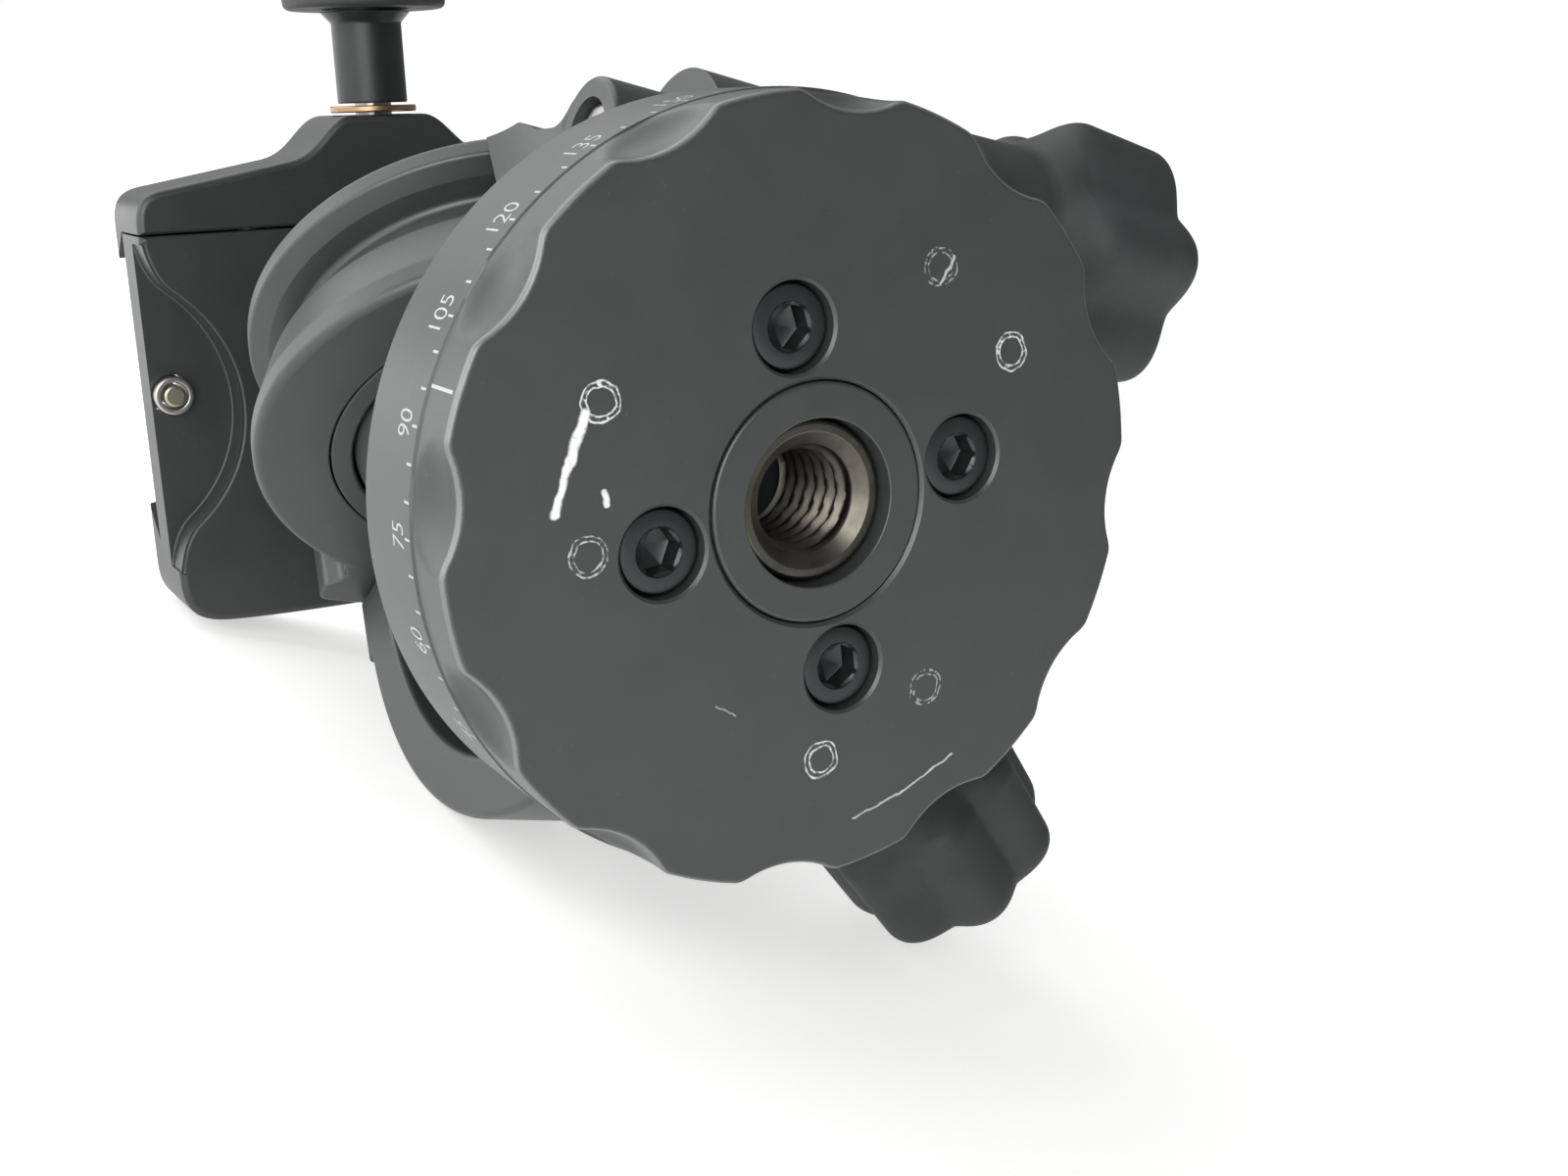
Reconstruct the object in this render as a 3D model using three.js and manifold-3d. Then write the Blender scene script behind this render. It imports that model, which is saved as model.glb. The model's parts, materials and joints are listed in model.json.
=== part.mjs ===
// An open-frame ball head with a panning base and a dovetail clamp, in millimetres.
// +Z runs up the pan axis from the middle of the base's underside, and +X runs towards the main knob.
import * as THREE from "three";
import { mergeVertices } from "three/addons/utils/BufferGeometryUtils.js";
import Module from "manifold-3d";

const wasm = await Module();
wasm.setup();

// Driving dimensions.
const gap = 0.3; // between faces that touch on the real object
const rad = Math.PI / 180;

const base = { r: 32.85, height: 15.8, gripHeight: 5.3, chamfer: 0.7 };
const scallops = { count: 12, firstAngle: -38, r: 7, depth: 1.5 };
const cavity = { r: 26.2, floor: 8 };
const screwCircle = { count: 4, r: 14.6, firstAngle: -22.7, recess: 0.8 };
const screw = { headR: 3.45, headH: 4.2, shankR: 2.05, length: 6.2 };
const spindle = { bossR: 10, flangeR: 19.5, flangeTop: 11.5, postR: 12, top: 30.5 };
const spindleRecess = { r: 8.6, floor: 17, webBottom: 14.4 };
const bush = { r: 6.7, boreR: 4.2, bottom: 1.4, top: 13, mouth: 1.4 };
const hub = { r: 21, skirtR: 25.6, skirtBottom: 13.2, bottom: 16.4, top: 29 };
const shoulder = { r: 28.2, height: 2.2, slope: 2.4 };
const hubRecess = { r: 16.4, floor: 26.5 };
const arm = { y: 4, z: 48.5, outerR: 37.4, innerR: 31, halfWidth: 7.5, from: -50, to: 43 };
const armPad = { v0: 25.6, v1: 33, bottomW: -12.6 };
const panKnob = { azimuth: 42, z: 24, r: 12.7, inner: 40, lobe: 44.5, outer: 60, collarR: 8.6 };
const panLock = { bossR: 6.2, bossEnd: 36, holeR: 2.9, studR: 2.3, shoeR: 2.5, shoeEnd: 16, bite: 6 };
const ballR = 19;
const housing = { z: 60.5, tilt: 44, faceW: -5, topW: 12.5, faceR: 28.9, flangeR: 28, mouthR: 24.8 };
const seat = { innerR: 18.7, outerR: 21, height: 3.5 };
const lug = { v: -36.4, w: 1.85, nearR: 5.7, farR: 8.8, nearX: -9.3, splitX: 0.4, slit: 1.6, farX: 14 };
const bolt = { r: 2.4, headR: 3.4, headH: 3.2, headDepth: 4.4, end: 42, washerR: 7.6, washerX: 16 };
const foot = { halfWidth: 12.4, v0: 25.6, v1: 33, topW: 3, screwX: 4.2, screwV: 30.1 };
const footScrew = { headR: 2.4, headH: 2.8, shankR: 1.4, length: 9, bite: 6.5 };
const mainKnob = { r: 15.2, sleeveR: 5.2, sleeveX: 16.3, collarR: 9.6, collarX: 36, lobeX: 44, endX: 59.5 };
const stem = { r: 6.5, top: 95.5, boltR: 2.4, boreR: 2.7, boreDepth: 16 };
const clamp = { yaw: -15, halfLength: 31, bottom: 95.8, deck: 105, top: 109.3, fixedV: 29.2, splitV: -18.4 };
const dovetail = { half: 19.3, lip: 15.2 };
const jaw = { v: -19, outerV: -26.2, bossV: -31.2, knobZ: 101.3 };
const clampKnob = { screwR: 2.2, screwEnd: 7, shaftR: 4.2, flangeR: 9.6, flangeV: 43.6, r: 11.6, endV: 61 };
const guide = { r: 1.5, u: 17, z: 100.6, v0: -24.6, v1: -8, pocketR: 2.8, springR: 2.2, wireR: 0.3 };
const pocket = { r: 17.6, u: 38.9, v: 2, depth: 4.4 };
const detent = { r: 1.3, outerR: 2.3, u: -28.4, v: 0.6 };

// The three rubber knobs.
const mainKnobShape = {
  r: mainKnob.r, depth: 2.7, lobes: 6, phase: -8 * rad, collarR: mainKnob.collarR, collarZ: mainKnob.collarX,
  lobeZ: mainKnob.lobeX, endZ: mainKnob.endX, boreR: mainKnob.sleeveR + gap, boreZ: mainKnob.endX - 8,
};
const panKnobShape = {
  r: panKnob.r, depth: 2, lobes: 7, phase: -34 * rad, collarR: panKnob.collarR, collarZ: panKnob.inner,
  lobeZ: panKnob.lobe, endZ: panKnob.outer, boreR: panLock.studR + gap,
  boreZ: panKnob.outer - panLock.bite + gap,
};
const clampKnobShape = {
  r: clampKnob.r, depth: 2, lobes: 7, phase: 0, collarR: clampKnob.flangeR, collarZ: clampKnob.flangeV,
  lobeZ: clampKnob.flangeV + 4, endZ: clampKnob.endV, boreR: clampKnob.shaftR + gap, boreZ: 57,
};

// Materials.
function material(colour, roughness, metalness) {
  return new THREE.MeshStandardMaterial({ color: colour, roughness, metalness });
}
const anodised = material(0x2b2f30, 0.42, 0.7);
const rubber = material(0x2c2e2e, 0.85, 0);
const blackSteel = material(0x222426, 0.45, 0.8);
const steel = material(0xa8a6a0, 0.3, 1);
const brass = material(0xb98a4e, 0.35, 1);
const polymer = material(0xd8d4c8, 0.6, 0);

// Geometry helpers. Each returns a closed BufferGeometry that runs along +Z unless it says otherwise.
function lathe(points, segments) {
  const profile = points.map(([r, z]) => new THREE.Vector2(r, z));
  profile.push(profile[0].clone());
  return new THREE.LatheGeometry(profile, segments).rotateX(Math.PI / 2);
}
function rod(r, z0, z1, segments = 32) {
  return lathe([[0, z0], [r, z0], [r, z1], [0, z1]], segments);
}
function block(x0, x1, y0, y1, z0, z1) {
  const g = new THREE.BoxGeometry(x1 - x0, y1 - y0, z1 - z0);
  return g.translate((x0 + x1) / 2, (y0 + y1) / 2, (z0 + z1) / 2);
}
function prism(shape, z0, z1, curveSegments = 12) {
  const options = { depth: z1 - z0, bevelEnabled: false, curveSegments };
  return new THREE.ExtrudeGeometry(shape, options).translate(0, 0, z0);
}
// A prism of an outline in the YZ plane, running along X.
function prismX(shape, x0, x1, curveSegments = 12) {
  return prism(shape, x0, x1, curveSegments).rotateY(Math.PI / 2).rotateX(Math.PI / 2);
}
function alongX(geometry) {
  return geometry.rotateY(Math.PI / 2);
}
function alongY(geometry) {
  return geometry.rotateX(-Math.PI / 2);
}
function outline(points) {
  return new THREE.Shape(points.map(([a, b]) => new THREE.Vector2(a, b)));
}

// A closed geometry as a manifold-3d solid, and back.
function solid(geometry) {
  const g = geometry.clone();
  g.deleteAttribute("normal");
  g.deleteAttribute("uv");
  const merged = mergeVertices(g, 1e-4);
  const vertProperties = new Float32Array(merged.attributes.position.array);
  const triVerts = new Uint32Array(merged.index.array);
  return new wasm.Manifold(new wasm.Mesh({ numProp: 3, vertProperties, triVerts }));
}
function join(...geometries) {
  return geometries.map(solid).reduce((a, b) => a.add(b));
}
function cut(body, ...geometries) {
  return geometries.map(solid).reduce((a, b) => a.subtract(b), body);
}
function toGeometry(body) {
  const m = body.getMesh();
  const g = new THREE.BufferGeometry();
  g.setAttribute("position", new THREE.BufferAttribute(m.vertProperties, 3));
  g.setIndex(new THREE.BufferAttribute(m.triVerts, 1));
  g.computeVertexNormals();
  return g;
}
function part(group, name, shape, mat) {
  const mesh = new THREE.Mesh(shape.isBufferGeometry ? shape : toGeometry(shape), mat);
  mesh.name = name;
  group.add(mesh);
  return mesh;
}

// A hexagonal prism for sockets, by its width across flats.
function hexagon(acrossFlats, z0, z1) {
  const r = acrossFlats / Math.sqrt(3);
  return new THREE.CylinderGeometry(r, r, z1 - z0, 6).rotateX(Math.PI / 2).translate(0, 0, (z0 + z1) / 2);
}
// A socket head cap screw with its head down, the top of its head at z = 0.
function capScrew({ headR, headH, shankR, length }) {
  const body = join(rod(headR, 0, headH, 20), rod(shankR, headH - 0.5, headH + length, 10));
  return cut(body, hexagon(headR * 0.97, -1, headH * 0.6));
}
// A lobed knob outline: a circle whose radius swings between its lobes and its valleys.
function lobedOutline(r, depth, lobes, phase, steps) {
  const points = [];
  for (let i = 0; i < steps; i++) {
    const a = (2 * Math.PI * i) / steps;
    const lobe = 0.5 + 0.5 * Math.cos(lobes * (a - phase));
    const radius = r - depth * (1 - Math.pow(lobe, 0.75));
    points.push([radius * Math.cos(a), radius * Math.sin(a)]);
  }
  return outline(points);
}
// A rubber knob along +Z: a round collar that grows into lobes, with a rounded end.
function lobedKnob({ r, depth, lobes, phase, collarR, collarZ, lobeZ, endZ, boreR, boreZ }) {
  const round = r * 0.22;
  const endR = r - 0.7;
  const envelope = lathe(
    [
      [0, collarZ], [collarR, collarZ], [collarR + 0.4, lobeZ - 2.5], [r - 1.8, lobeZ - 0.4],
      [r, lobeZ + 1.2],
      [endR, endZ - round], [endR - round * 0.3, endZ - round * 0.3], [endR - round, endZ], [0, endZ],
    ],
    36,
  );
  const lobed = solid(prism(lobedOutline(r + 0.05, depth, lobes, phase, lobes * 5), collarZ - 1, endZ + 1));
  return cut(lobed.intersect(solid(envelope)), rod(boreR, collarZ - 1, boreZ, 16));
}

// The panning base: a knurled disc with a cavity for the spindle's flange and the hub's skirt.
function panBase() {
  let body = solid(
    lathe(
      [
        [spindle.bossR + gap, 0], [base.r - base.chamfer, 0], [base.r, base.chamfer],
        [base.r, base.height - 0.4], [base.r - 0.4, base.height], [cavity.r, base.height],
        [cavity.r, cavity.floor],
        [spindle.bossR + gap, cavity.floor],
      ],
      72,
    ),
  );
  for (let i = 0; i < scallops.count; i++) {
    const a = (scallops.firstAngle + (360 / scallops.count) * i) * rad;
    const reach = base.r - scallops.depth + scallops.r;
    const scallop = rod(scallops.r, -1, base.gripHeight, 16);
    body = cut(body, scallop.translate(reach * Math.cos(a), reach * Math.sin(a), 0));
  }
  for (const [x, y] of screwPlaces()) {
    const boreDepth = screw.headH + screwCircle.recess + gap;
    const counterbore = rod(screw.headR + gap, -1, boreDepth, 20).translate(x, y, 0);
    const hole = rod(screw.shankR + gap, 0, cavity.floor + 1, 12).translate(x, y, 0);
    body = cut(body, counterbore, hole);
  }
  return body;
}
function screwPlaces() {
  return Array.from({ length: screwCircle.count }, (_, i) => {
    const a = (screwCircle.firstAngle + (360 / screwCircle.count) * i) * rad;
    return [screwCircle.r * Math.cos(a), screwCircle.r * Math.sin(a)];
  });
}
// The spindle: a centre boss flush with the underside, a flange on the base's floor and the post.
function spindleBody() {
  const floor = cavity.floor + gap;
  const holeR = bush.r + gap;
  const { r, floor: recessFloor, webBottom } = spindleRecess;
  let body = solid(
    lathe(
      [
        [holeR, 0.05], [spindle.bossR, 0.05], [spindle.bossR, floor], [spindle.flangeR, floor],
        [spindle.flangeR, spindle.flangeTop], [spindle.postR, spindle.flangeTop],
        [spindle.postR, spindle.top],
        [r, spindle.top], [r, recessFloor], [0, recessFloor], [0, webBottom], [holeR, webBottom],
      ],
      40,
    ),
  );
  for (const [x, y] of screwPlaces()) {
    body = cut(body, rod(screw.shankR + gap, floor - 1, spindle.flangeTop + 4, 12).translate(x, y, 0));
  }
  return body;
}
function tripodBush() {
  const { r, boreR, bottom, top, mouth } = bush;
  const outer = [[boreR + mouth, bottom], [r - 0.5, bottom], [r, bottom + 0.5], [r, top]];
  return lathe([...outer, [boreR, top], [boreR, bottom + mouth]], 28);
}
function ringWasher(innerR, outerR, z0, z1, segments = 28) {
  return lathe([[innerR, z0], [outerR, z0], [outerR, z1], [innerR, z1]], segments);
}

// The yoke: the hub that turns on the spindle, and the C-shaped arm that carries the ball housing.
function yokeBody() {
  const turn = new THREE.Matrix4().makeRotationZ(panKnob.azimuth * rad);
  const boss = alongX(rod(panLock.bossR, 10, panLock.bossEnd, 28)).translate(0, 0, panKnob.z);
  const shoulderTop = hub.bottom + shoulder.height;
  const disc = solid(
    lathe(
      [
        [0, hub.skirtBottom], [hub.skirtR, hub.skirtBottom], [hub.skirtR, hub.bottom],
        [shoulder.r, hub.bottom], [shoulder.r, shoulderTop], [hub.r, shoulderTop + shoulder.slope],
        [hub.r, hub.top - 1], [hub.r - 1, hub.top], [0, hub.top],
      ],
      48,
    ),
  );
  const heel = outline([
    [8, hub.bottom], [27.5, hub.bottom], [31.5, 20.5], [33, 24.5], [27.5, 29.5], [24.5, 27], [8, 27],
  ]);
  const arcShape = new THREE.Shape();
  arcShape.absarc(arm.y, arm.z, arm.outerR, arm.from * rad, arm.to * rad, false);
  arcShape.absarc(arm.y, arm.z, arm.innerR, arm.to * rad, arm.from * rad, true);
  const pieces = [
    solid(prismX(heel, -arm.halfWidth, arm.halfWidth)),
    solid(prismX(arcShape, -arm.halfWidth, arm.halfWidth, 18)),
    solid(boss.applyMatrix4(turn)),
  ];
  const { v0, v1, bottomW } = armPad;
  const pad = block(-arm.halfWidth, arm.halfWidth, v0, v1, bottomW, housing.faceW - gap);
  pieces.push(solid(pad.rotateX(housing.tilt * rad).translate(0, 0, housing.z)));
  let body = pieces.reduce((a, b) => a.add(b), disc);
  const bore = spindle.postR + 0.35;
  const recess = lathe(
    [
      [0, hub.skirtBottom - 1], [bore, hub.skirtBottom - 1], [bore, hubRecess.floor],
      [hubRecess.r, hubRecess.floor], [hubRecess.r, hub.top + 10], [0, hub.top + 10],
    ],
    32,
  );
  const lockHole = alongX(rod(panLock.holeR, 10, 40, 20)).translate(0, 0, panKnob.z).applyMatrix4(turn);
  const screwHoles = [-foot.screwX, foot.screwX].map((x) => {
    const hole = rod(footScrew.shankR + gap, housing.faceW - footScrew.bite, housing.faceW, 16);
    return hole.translate(x, foot.screwV, 0).rotateX(housing.tilt * rad);
  });
  return cut(body, recess, lockHole, ...screwHoles.map((hole) => hole.translate(0, 0, housing.z)));
}
function tensionBolt() {
  const head = lug.nearX + 0.9;
  return cut(
    join(
      alongX(rod(bolt.headR, head, head + bolt.headH, 24)),
      alongX(rod(bolt.r, head + bolt.headH - 0.2, bolt.end, 20)),
    ),
    alongX(hexagon(2.6, head - 1, head + 1.6)),
  );
}
function mainKnobSleeve() {
  const { sleeveR, sleeveX, collarX, endX } = mainKnob;
  const end = endX - 8 - gap;
  const profile = [
    [bolt.r + gap, sleeveX], [7, sleeveX], [7, sleeveX + 2], [sleeveR, sleeveX + 3.5], [sleeveR, end],
    [0, end],
    [0, collarX + 8], [bolt.r + gap, collarX + 8],
  ];
  return alongX(lathe(profile, 24));
}
function clampBolt() {
  const { deck, bottom } = clamp;
  const body = join(rod(4.6, deck - 5, deck - 0.6, 28), rod(stem.boltR, stem.top - 13, deck - 4.5, 20));
  return cut(body, hexagon(4.4, deck - 3, deck + 1));
}
function detentSleeve() {
  return ringWasher(detent.r + gap, detent.outerR, clamp.bottom + 3, clamp.deck - 0.4, 24);
}
function detentPin() {
  return rod(detent.r, clamp.bottom + 2.6, clamp.deck + 1.6, 20);
}
function clampKnobSleeve() {
  const { screwR, shaftR, flangeV } = clampKnob;
  return lathe(
    [
      [screwR + gap, 32.6], [shaftR, 32.6], [shaftR, flangeV - 1.4], [shaftR + 1.2, flangeV - gap],
      [shaftR, flangeV - gap], [shaftR, 56.6], [screwR + gap, 56.6],
    ],
    24,
  );
}
function clampKnobGrip() {
  const shape = lobedKnob(clampKnobShape);
  return toGeometry(shape).rotateX(Math.PI / 2);
}

// The ball housing, in its own frame: Z is the housing's axis and -Y is its low side, where it is split.
function clampRing() {
  const face = housing.faceW;
  const top = housing.topW;
  const ledge = face + seat.height + gap;
  const wall = lathe(
    [
      [seat.outerR + gap, face], [housing.faceR - 0.5, face], [housing.faceR, face + 0.6],
      [housing.faceR, -2.5], [26.6, 4.2], [23.5, 4.8], [23.5, 8.6], [26, 9.2], [housing.flangeR, 10.2],
      [housing.flangeR, top - 0.5], [housing.flangeR - 0.5, top], [housing.mouthR, top], [18.05, 6.8],
      [19.02, 3.4], [ballR + 0.35, 0],
      [ballR + 0.35, ledge], [seat.outerR + gap, ledge],
    ],
    48,
  );
  const { v, w } = lug;
  const nearWeb = outline([
    [-25, -4.4], [-32, -3.4], [v, w - lug.nearR], [v, w + lug.nearR], [-33.4, 7.4], [-30.6, 9], [-28.4, 12],
    [-25, 12],
  ]);
  const farWeb = outline([
    [-25, -4.9], [-31, -5.6], [v, w - lug.farR], [v, w + lug.farR], [-31, 11.4], [-27.6, 12.4], [-25, 12.4],
  ]);
  const eye = (r, x0, x1) => alongX(rod(r, x0, x1, 24)).translate(0, v, w);
  const body = [
    prismX(nearWeb, lug.nearX, 0),
    eye(lug.nearR, lug.nearX, 0),
    prismX(farWeb, 0, lug.farX - 5),
    eye(lug.farR, 0, lug.farX),
    block(-foot.halfWidth, foot.halfWidth, foot.v0, foot.v1, face, foot.topW),
  ].reduce((a, b) => a.add(solid(b)), solid(wall));
  const slit = block(lug.splitX - lug.slit, lug.splitX, -50, -15, face - 5, top + 5);
  const boltHole = eye(bolt.r + gap, lug.nearX - 1, lug.farX + 1);
  const counterbore = eye(bolt.headR + gap, lug.nearX - 1, lug.nearX + bolt.headDepth);
  const headBore = footScrew.headH + 2 * gap;
  const footHoles = [-foot.screwX, foot.screwX].flatMap((x) => [
    rod(footScrew.headR + gap, foot.topW - headBore, foot.topW + 3, 20).translate(x, foot.screwV, 0),
    rod(footScrew.shankR + gap, face - 1, foot.topW, 16).translate(x, foot.screwV, 0),
  ]);
  return cut(body, slit, boltHole, counterbore, ...footHoles);
}
function seatRing() {
  const face = housing.faceW;
  const inner = seat.innerR;
  const rim = face + seat.height;
  return lathe([[inner, face], [seat.outerR, face], [seat.outerR, rim], [ballR + 0.35, rim]], 48);
}
// The ball and its stem, about the ball's centre.
function ballBody() {
  const top = stem.top - housing.z;
  const profile = [];
  const neckAngle = Math.asin(stem.r / ballR);
  for (let i = 0; i <= 11; i++) {
    const a = Math.PI - ((Math.PI - neckAngle) * i) / 11;
    profile.push([i === 0 ? 0 : ballR * Math.sin(a), ballR * Math.cos(a)]);
  }
  profile.push([stem.r, top - 5], [stem.r + 1, top - 3], [9.5, top - 2], [9.5, top], [stem.boreR, top]);
  profile.push([stem.boreR, top - stem.boreDepth], [0, top - stem.boreDepth]);
  return lathe(profile, 30);
}

// The quick-release clamp, in its own frame: Z is up, Y runs across the jaws and the knob is at -Y.
// The clamp seen along Z: the fixed side ends in a gentle bow, the jaw in a boss for the knob.
function fixedPlan() {
  const { halfLength: u, fixedV: v, splitV } = clamp;
  const shape = new THREE.Shape();
  shape.moveTo(-u, splitV);
  shape.lineTo(u, splitV);
  shape.lineTo(u, v - 6);
  shape.quadraticCurveTo(u, v - 1.4, u - 5, v - 0.8);
  shape.quadraticCurveTo(0, v + 0.8, -u + 5, v - 0.8);
  shape.quadraticCurveTo(-u, v - 1.4, -u, v - 6);
  return shape;
}
function jawPlan() {
  const u = clamp.halfLength;
  const { outerV: v, bossV } = jaw;
  const shape = new THREE.Shape();
  shape.moveTo(-u, -dovetail.lip);
  shape.lineTo(-u, v + 7);
  shape.quadraticCurveTo(-u, v + 3, -u + 4.5, v + 2.4);
  shape.lineTo(-12.5, v);
  shape.bezierCurveTo(-8.5, v - 0.8, -7.5, bossV, -4.4, bossV);
  shape.lineTo(4.4, bossV);
  shape.bezierCurveTo(7.5, bossV, 8.5, v - 0.8, 12.5, v);
  shape.lineTo(u - 4.5, v + 2.4);
  shape.quadraticCurveTo(u, v + 3, u, v + 7);
  shape.lineTo(u, -dovetail.lip);
  return shape;
}
function clampBody() {
  const { bottom, deck, top, fixedV, splitV, halfLength: u } = clamp;
  const section = outline([
    [splitV, bottom], [fixedV - 1.5, bottom], [fixedV + 1, bottom + 2.5], [fixedV + 1, top - 1.5],
    [fixedV - 0.5, top], [dovetail.lip, top], [dovetail.lip, top - 0.4], [dovetail.half, deck],
    [splitV, deck],
  ]);
  const plan = solid(prism(fixedPlan(), bottom - 1, top + 1, 8));
  let body = solid(prismX(section, -u, u)).intersect(plan);
  for (const side of [-1, 1]) {
    const scoop = rod(pocket.r, bottom - 1, bottom + pocket.depth, 48);
    body = cut(body, scoop.translate(side * pocket.u, pocket.v, 0));
    body = cut(
      body,
      alongY(rod(guide.r + gap, splitV - 1, guide.v1 + 1, 16)).translate(side * guide.u, 0, guide.z),
      alongY(rod(guide.pocketR, splitV - 1, splitV + 6.6, 20)).translate(side * guide.u, 0, guide.z),
    );
  }
  const screwBore = rod(clampKnob.screwR + gap, splitV - 1, gap - clampKnob.screwEnd, 20);
  return cut(
    body,
    alongY(screwBore).translate(0, 0, jaw.knobZ),
    rod(5, deck - 5.4, deck + 1, 28),
    rod(stem.boltR + gap, bottom - 1, deck, 20),
    rod(detent.outerR + gap, bottom, deck + 1, 24).translate(detent.u, detent.v, 0),
  );
}
function movingJaw() {
  const { bottom, deck, top, halfLength: u } = clamp;
  const section = outline([
    [jaw.v, bottom + 0.2], [jaw.bossV, bottom + 0.6], [jaw.bossV, top - 1.5], [jaw.bossV + 1.5, top],
    [-dovetail.lip, top], [-dovetail.lip, top - 0.4], [jaw.v, deck + 0.3],
  ]);
  const plan = solid(prism(jawPlan(), bottom - 1, top + 1, 8));
  let body = solid(prismX(section, -u, u)).intersect(plan);
  for (const side of [-1, 1]) {
    body = cut(
      body,
      alongY(rod(guide.r + gap, guide.v0 - 1, jaw.v + 1, 16)).translate(side * guide.u, 0, guide.z),
    );
  }
  const screwHole = alongY(rod(clampKnob.screwR + gap, jaw.bossV - 1, jaw.v + 1, 20));
  return cut(body, screwHole.translate(0, 0, jaw.knobZ));
}
// A compression spring along +Z as a round wire on a helix.
function coilSpring(meanR, wireR, z0, z1, turns) {
  const points = [];
  const steps = turns * 8;
  for (let i = 0; i <= steps; i++) {
    const a = (i / 8) * 2 * Math.PI;
    points.push(new THREE.Vector3(meanR * Math.cos(a), meanR * Math.sin(a), z0 + ((z1 - z0) * i) / steps));
  }
  const section = new THREE.Shape();
  section.absarc(0, 0, wireR, 0, 2 * Math.PI, false);
  const extrudePath = new THREE.CatmullRomCurve3(points);
  return new THREE.ExtrudeGeometry(section, { steps, curveSegments: 2, extrudePath });
}

const root = new THREE.Group();

// The base, which the tripod holds.
const baseGroup = new THREE.Group();
root.add(baseGroup);
part(baseGroup, "pan_base", panBase(), anodised);
part(baseGroup, "spindle", spindleBody(), anodised);
part(baseGroup, "tripod_bush", tripodBush(), steel);
part(baseGroup, "pan_glide_washer", ringWasher(spindle.postR + gap, 18.6, 11.8, 12.9), polymer);
part(baseGroup, "pan_top_washer", ringWasher(spindle.postR + gap, 16, 26.8, 27.8), steel);
part(baseGroup, "pan_retaining_ring", ringWasher(spindle.postR + gap, 15.6, 28.1, 30.3), blackSteel);
screwPlaces().forEach(([x, y], i) => {
  part(baseGroup, `base_screw_${i + 1}`, capScrew(screw), blackSteel).position.set(x, y, screwCircle.recess);
});

// The yoke and the ball housing, which pan together.
const yokeGroup = new THREE.Group();
root.add(yokeGroup);
part(yokeGroup, "yoke", yokeBody(), anodised);
const housingGroup = new THREE.Group();
housingGroup.position.set(0, 0, housing.z);
housingGroup.rotation.x = housing.tilt * rad;
yokeGroup.add(housingGroup);
part(housingGroup, "clamp_ring", clampRing(), anodised);
part(housingGroup, "seat_ring", seatRing(), anodised);
[-foot.screwX, foot.screwX].forEach((x, i) => {
  const mesh = part(housingGroup, `ring_screw_${i + 1}`, capScrew(footScrew), blackSteel);
  mesh.position.set(x, foot.screwV, foot.topW);
  mesh.rotation.x = Math.PI;
});

// The tension knob on its bolt through the housing's lugs, along +X.
const tensionGroup = new THREE.Group();
tensionGroup.position.set(0, lug.v, lug.w);
housingGroup.add(tensionGroup);
part(tensionGroup, "tension_bolt", tensionBolt(), steel);
const thrustWasher = ringWasher(bolt.r + gap, bolt.washerR, lug.farX + gap, bolt.washerX, 32);
part(tensionGroup, "thrust_washer", alongX(thrustWasher), steel);
part(tensionGroup, "main_knob_sleeve", mainKnobSleeve(), anodised);
part(tensionGroup, "main_knob_grip", alongX(toGeometry(lobedKnob(mainKnobShape))), rubber);

// The pan lock: a rubber knob whose stud presses a shoe against the spindle.
const panLockGroup = new THREE.Group();
panLockGroup.rotation.z = panKnob.azimuth * rad;
panLockGroup.position.z = panKnob.z;
root.add(panLockGroup);
const { shoeR, shoeEnd, studR, bite } = panLock;
part(panLockGroup, "pan_lock_shoe", alongX(rod(shoeR, spindle.postR + gap, shoeEnd, 20)), brass);
part(panLockGroup, "pan_lock_stud", alongX(rod(studR, shoeEnd + gap, panKnob.outer - bite, 20)), steel);
part(panLockGroup, "pan_knob_grip", alongX(toGeometry(lobedKnob(panKnobShape))), rubber);

// The ball, about its own centre.
const ballGroup = new THREE.Group();
ballGroup.position.z = housing.z;
root.add(ballGroup);
part(ballGroup, "ball_stem", ballBody(), anodised);

// The clamp on top of the stem.
const clampGroup = new THREE.Group();
clampGroup.rotation.z = clamp.yaw * rad;
root.add(clampGroup);
part(clampGroup, "clamp_body", clampBody(), anodised);
part(clampGroup, "clamp_bolt", clampBolt(), blackSteel);
part(clampGroup, "detent_sleeve", detentSleeve(), steel).position.set(detent.u, detent.v, 0);
part(clampGroup, "detent_pin", detentPin(), brass).position.set(detent.u, detent.v, 0);
part(clampGroup, "moving_jaw", movingJaw(), anodised);
[-1, 1].forEach((side, i) => {
  const pin = alongY(rod(guide.r, guide.v0, guide.v1, 16));
  part(clampGroup, `guide_pin_${i + 1}`, pin, steel).position.set(side * guide.u, 0, guide.z);
  const spring = alongY(coilSpring(guide.springR, guide.wireR, jaw.v + 0.7, clamp.splitV + 5.8, 4));
  part(clampGroup, `jaw_spring_${i + 1}`, spring, steel).position.set(side * guide.u, 0, guide.z);
});

// The clamp's knob, along -Y from the jaw's boss.
const clampKnobGroup = new THREE.Group();
clampKnobGroup.position.z = jaw.knobZ;
clampGroup.add(clampKnobGroup);
const out = (geometry) => geometry.rotateX(Math.PI / 2);
part(clampKnobGroup, "brass_washer", out(ringWasher(clampKnob.screwR + gap, 5.2, 31.5, 32.3, 28)), brass);
part(clampKnobGroup, "clamp_screw", out(rod(clampKnob.screwR, clampKnob.screwEnd, 56, 20)), steel);
part(clampKnobGroup, "clamp_knob_sleeve", out(clampKnobSleeve()), anodised);
part(clampKnobGroup, "clamp_knob_grip", clampKnobGrip(), rubber);

export default root;
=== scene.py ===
import json
import math

import bpy
import numpy as np
from mathutils import Matrix, Vector


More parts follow.
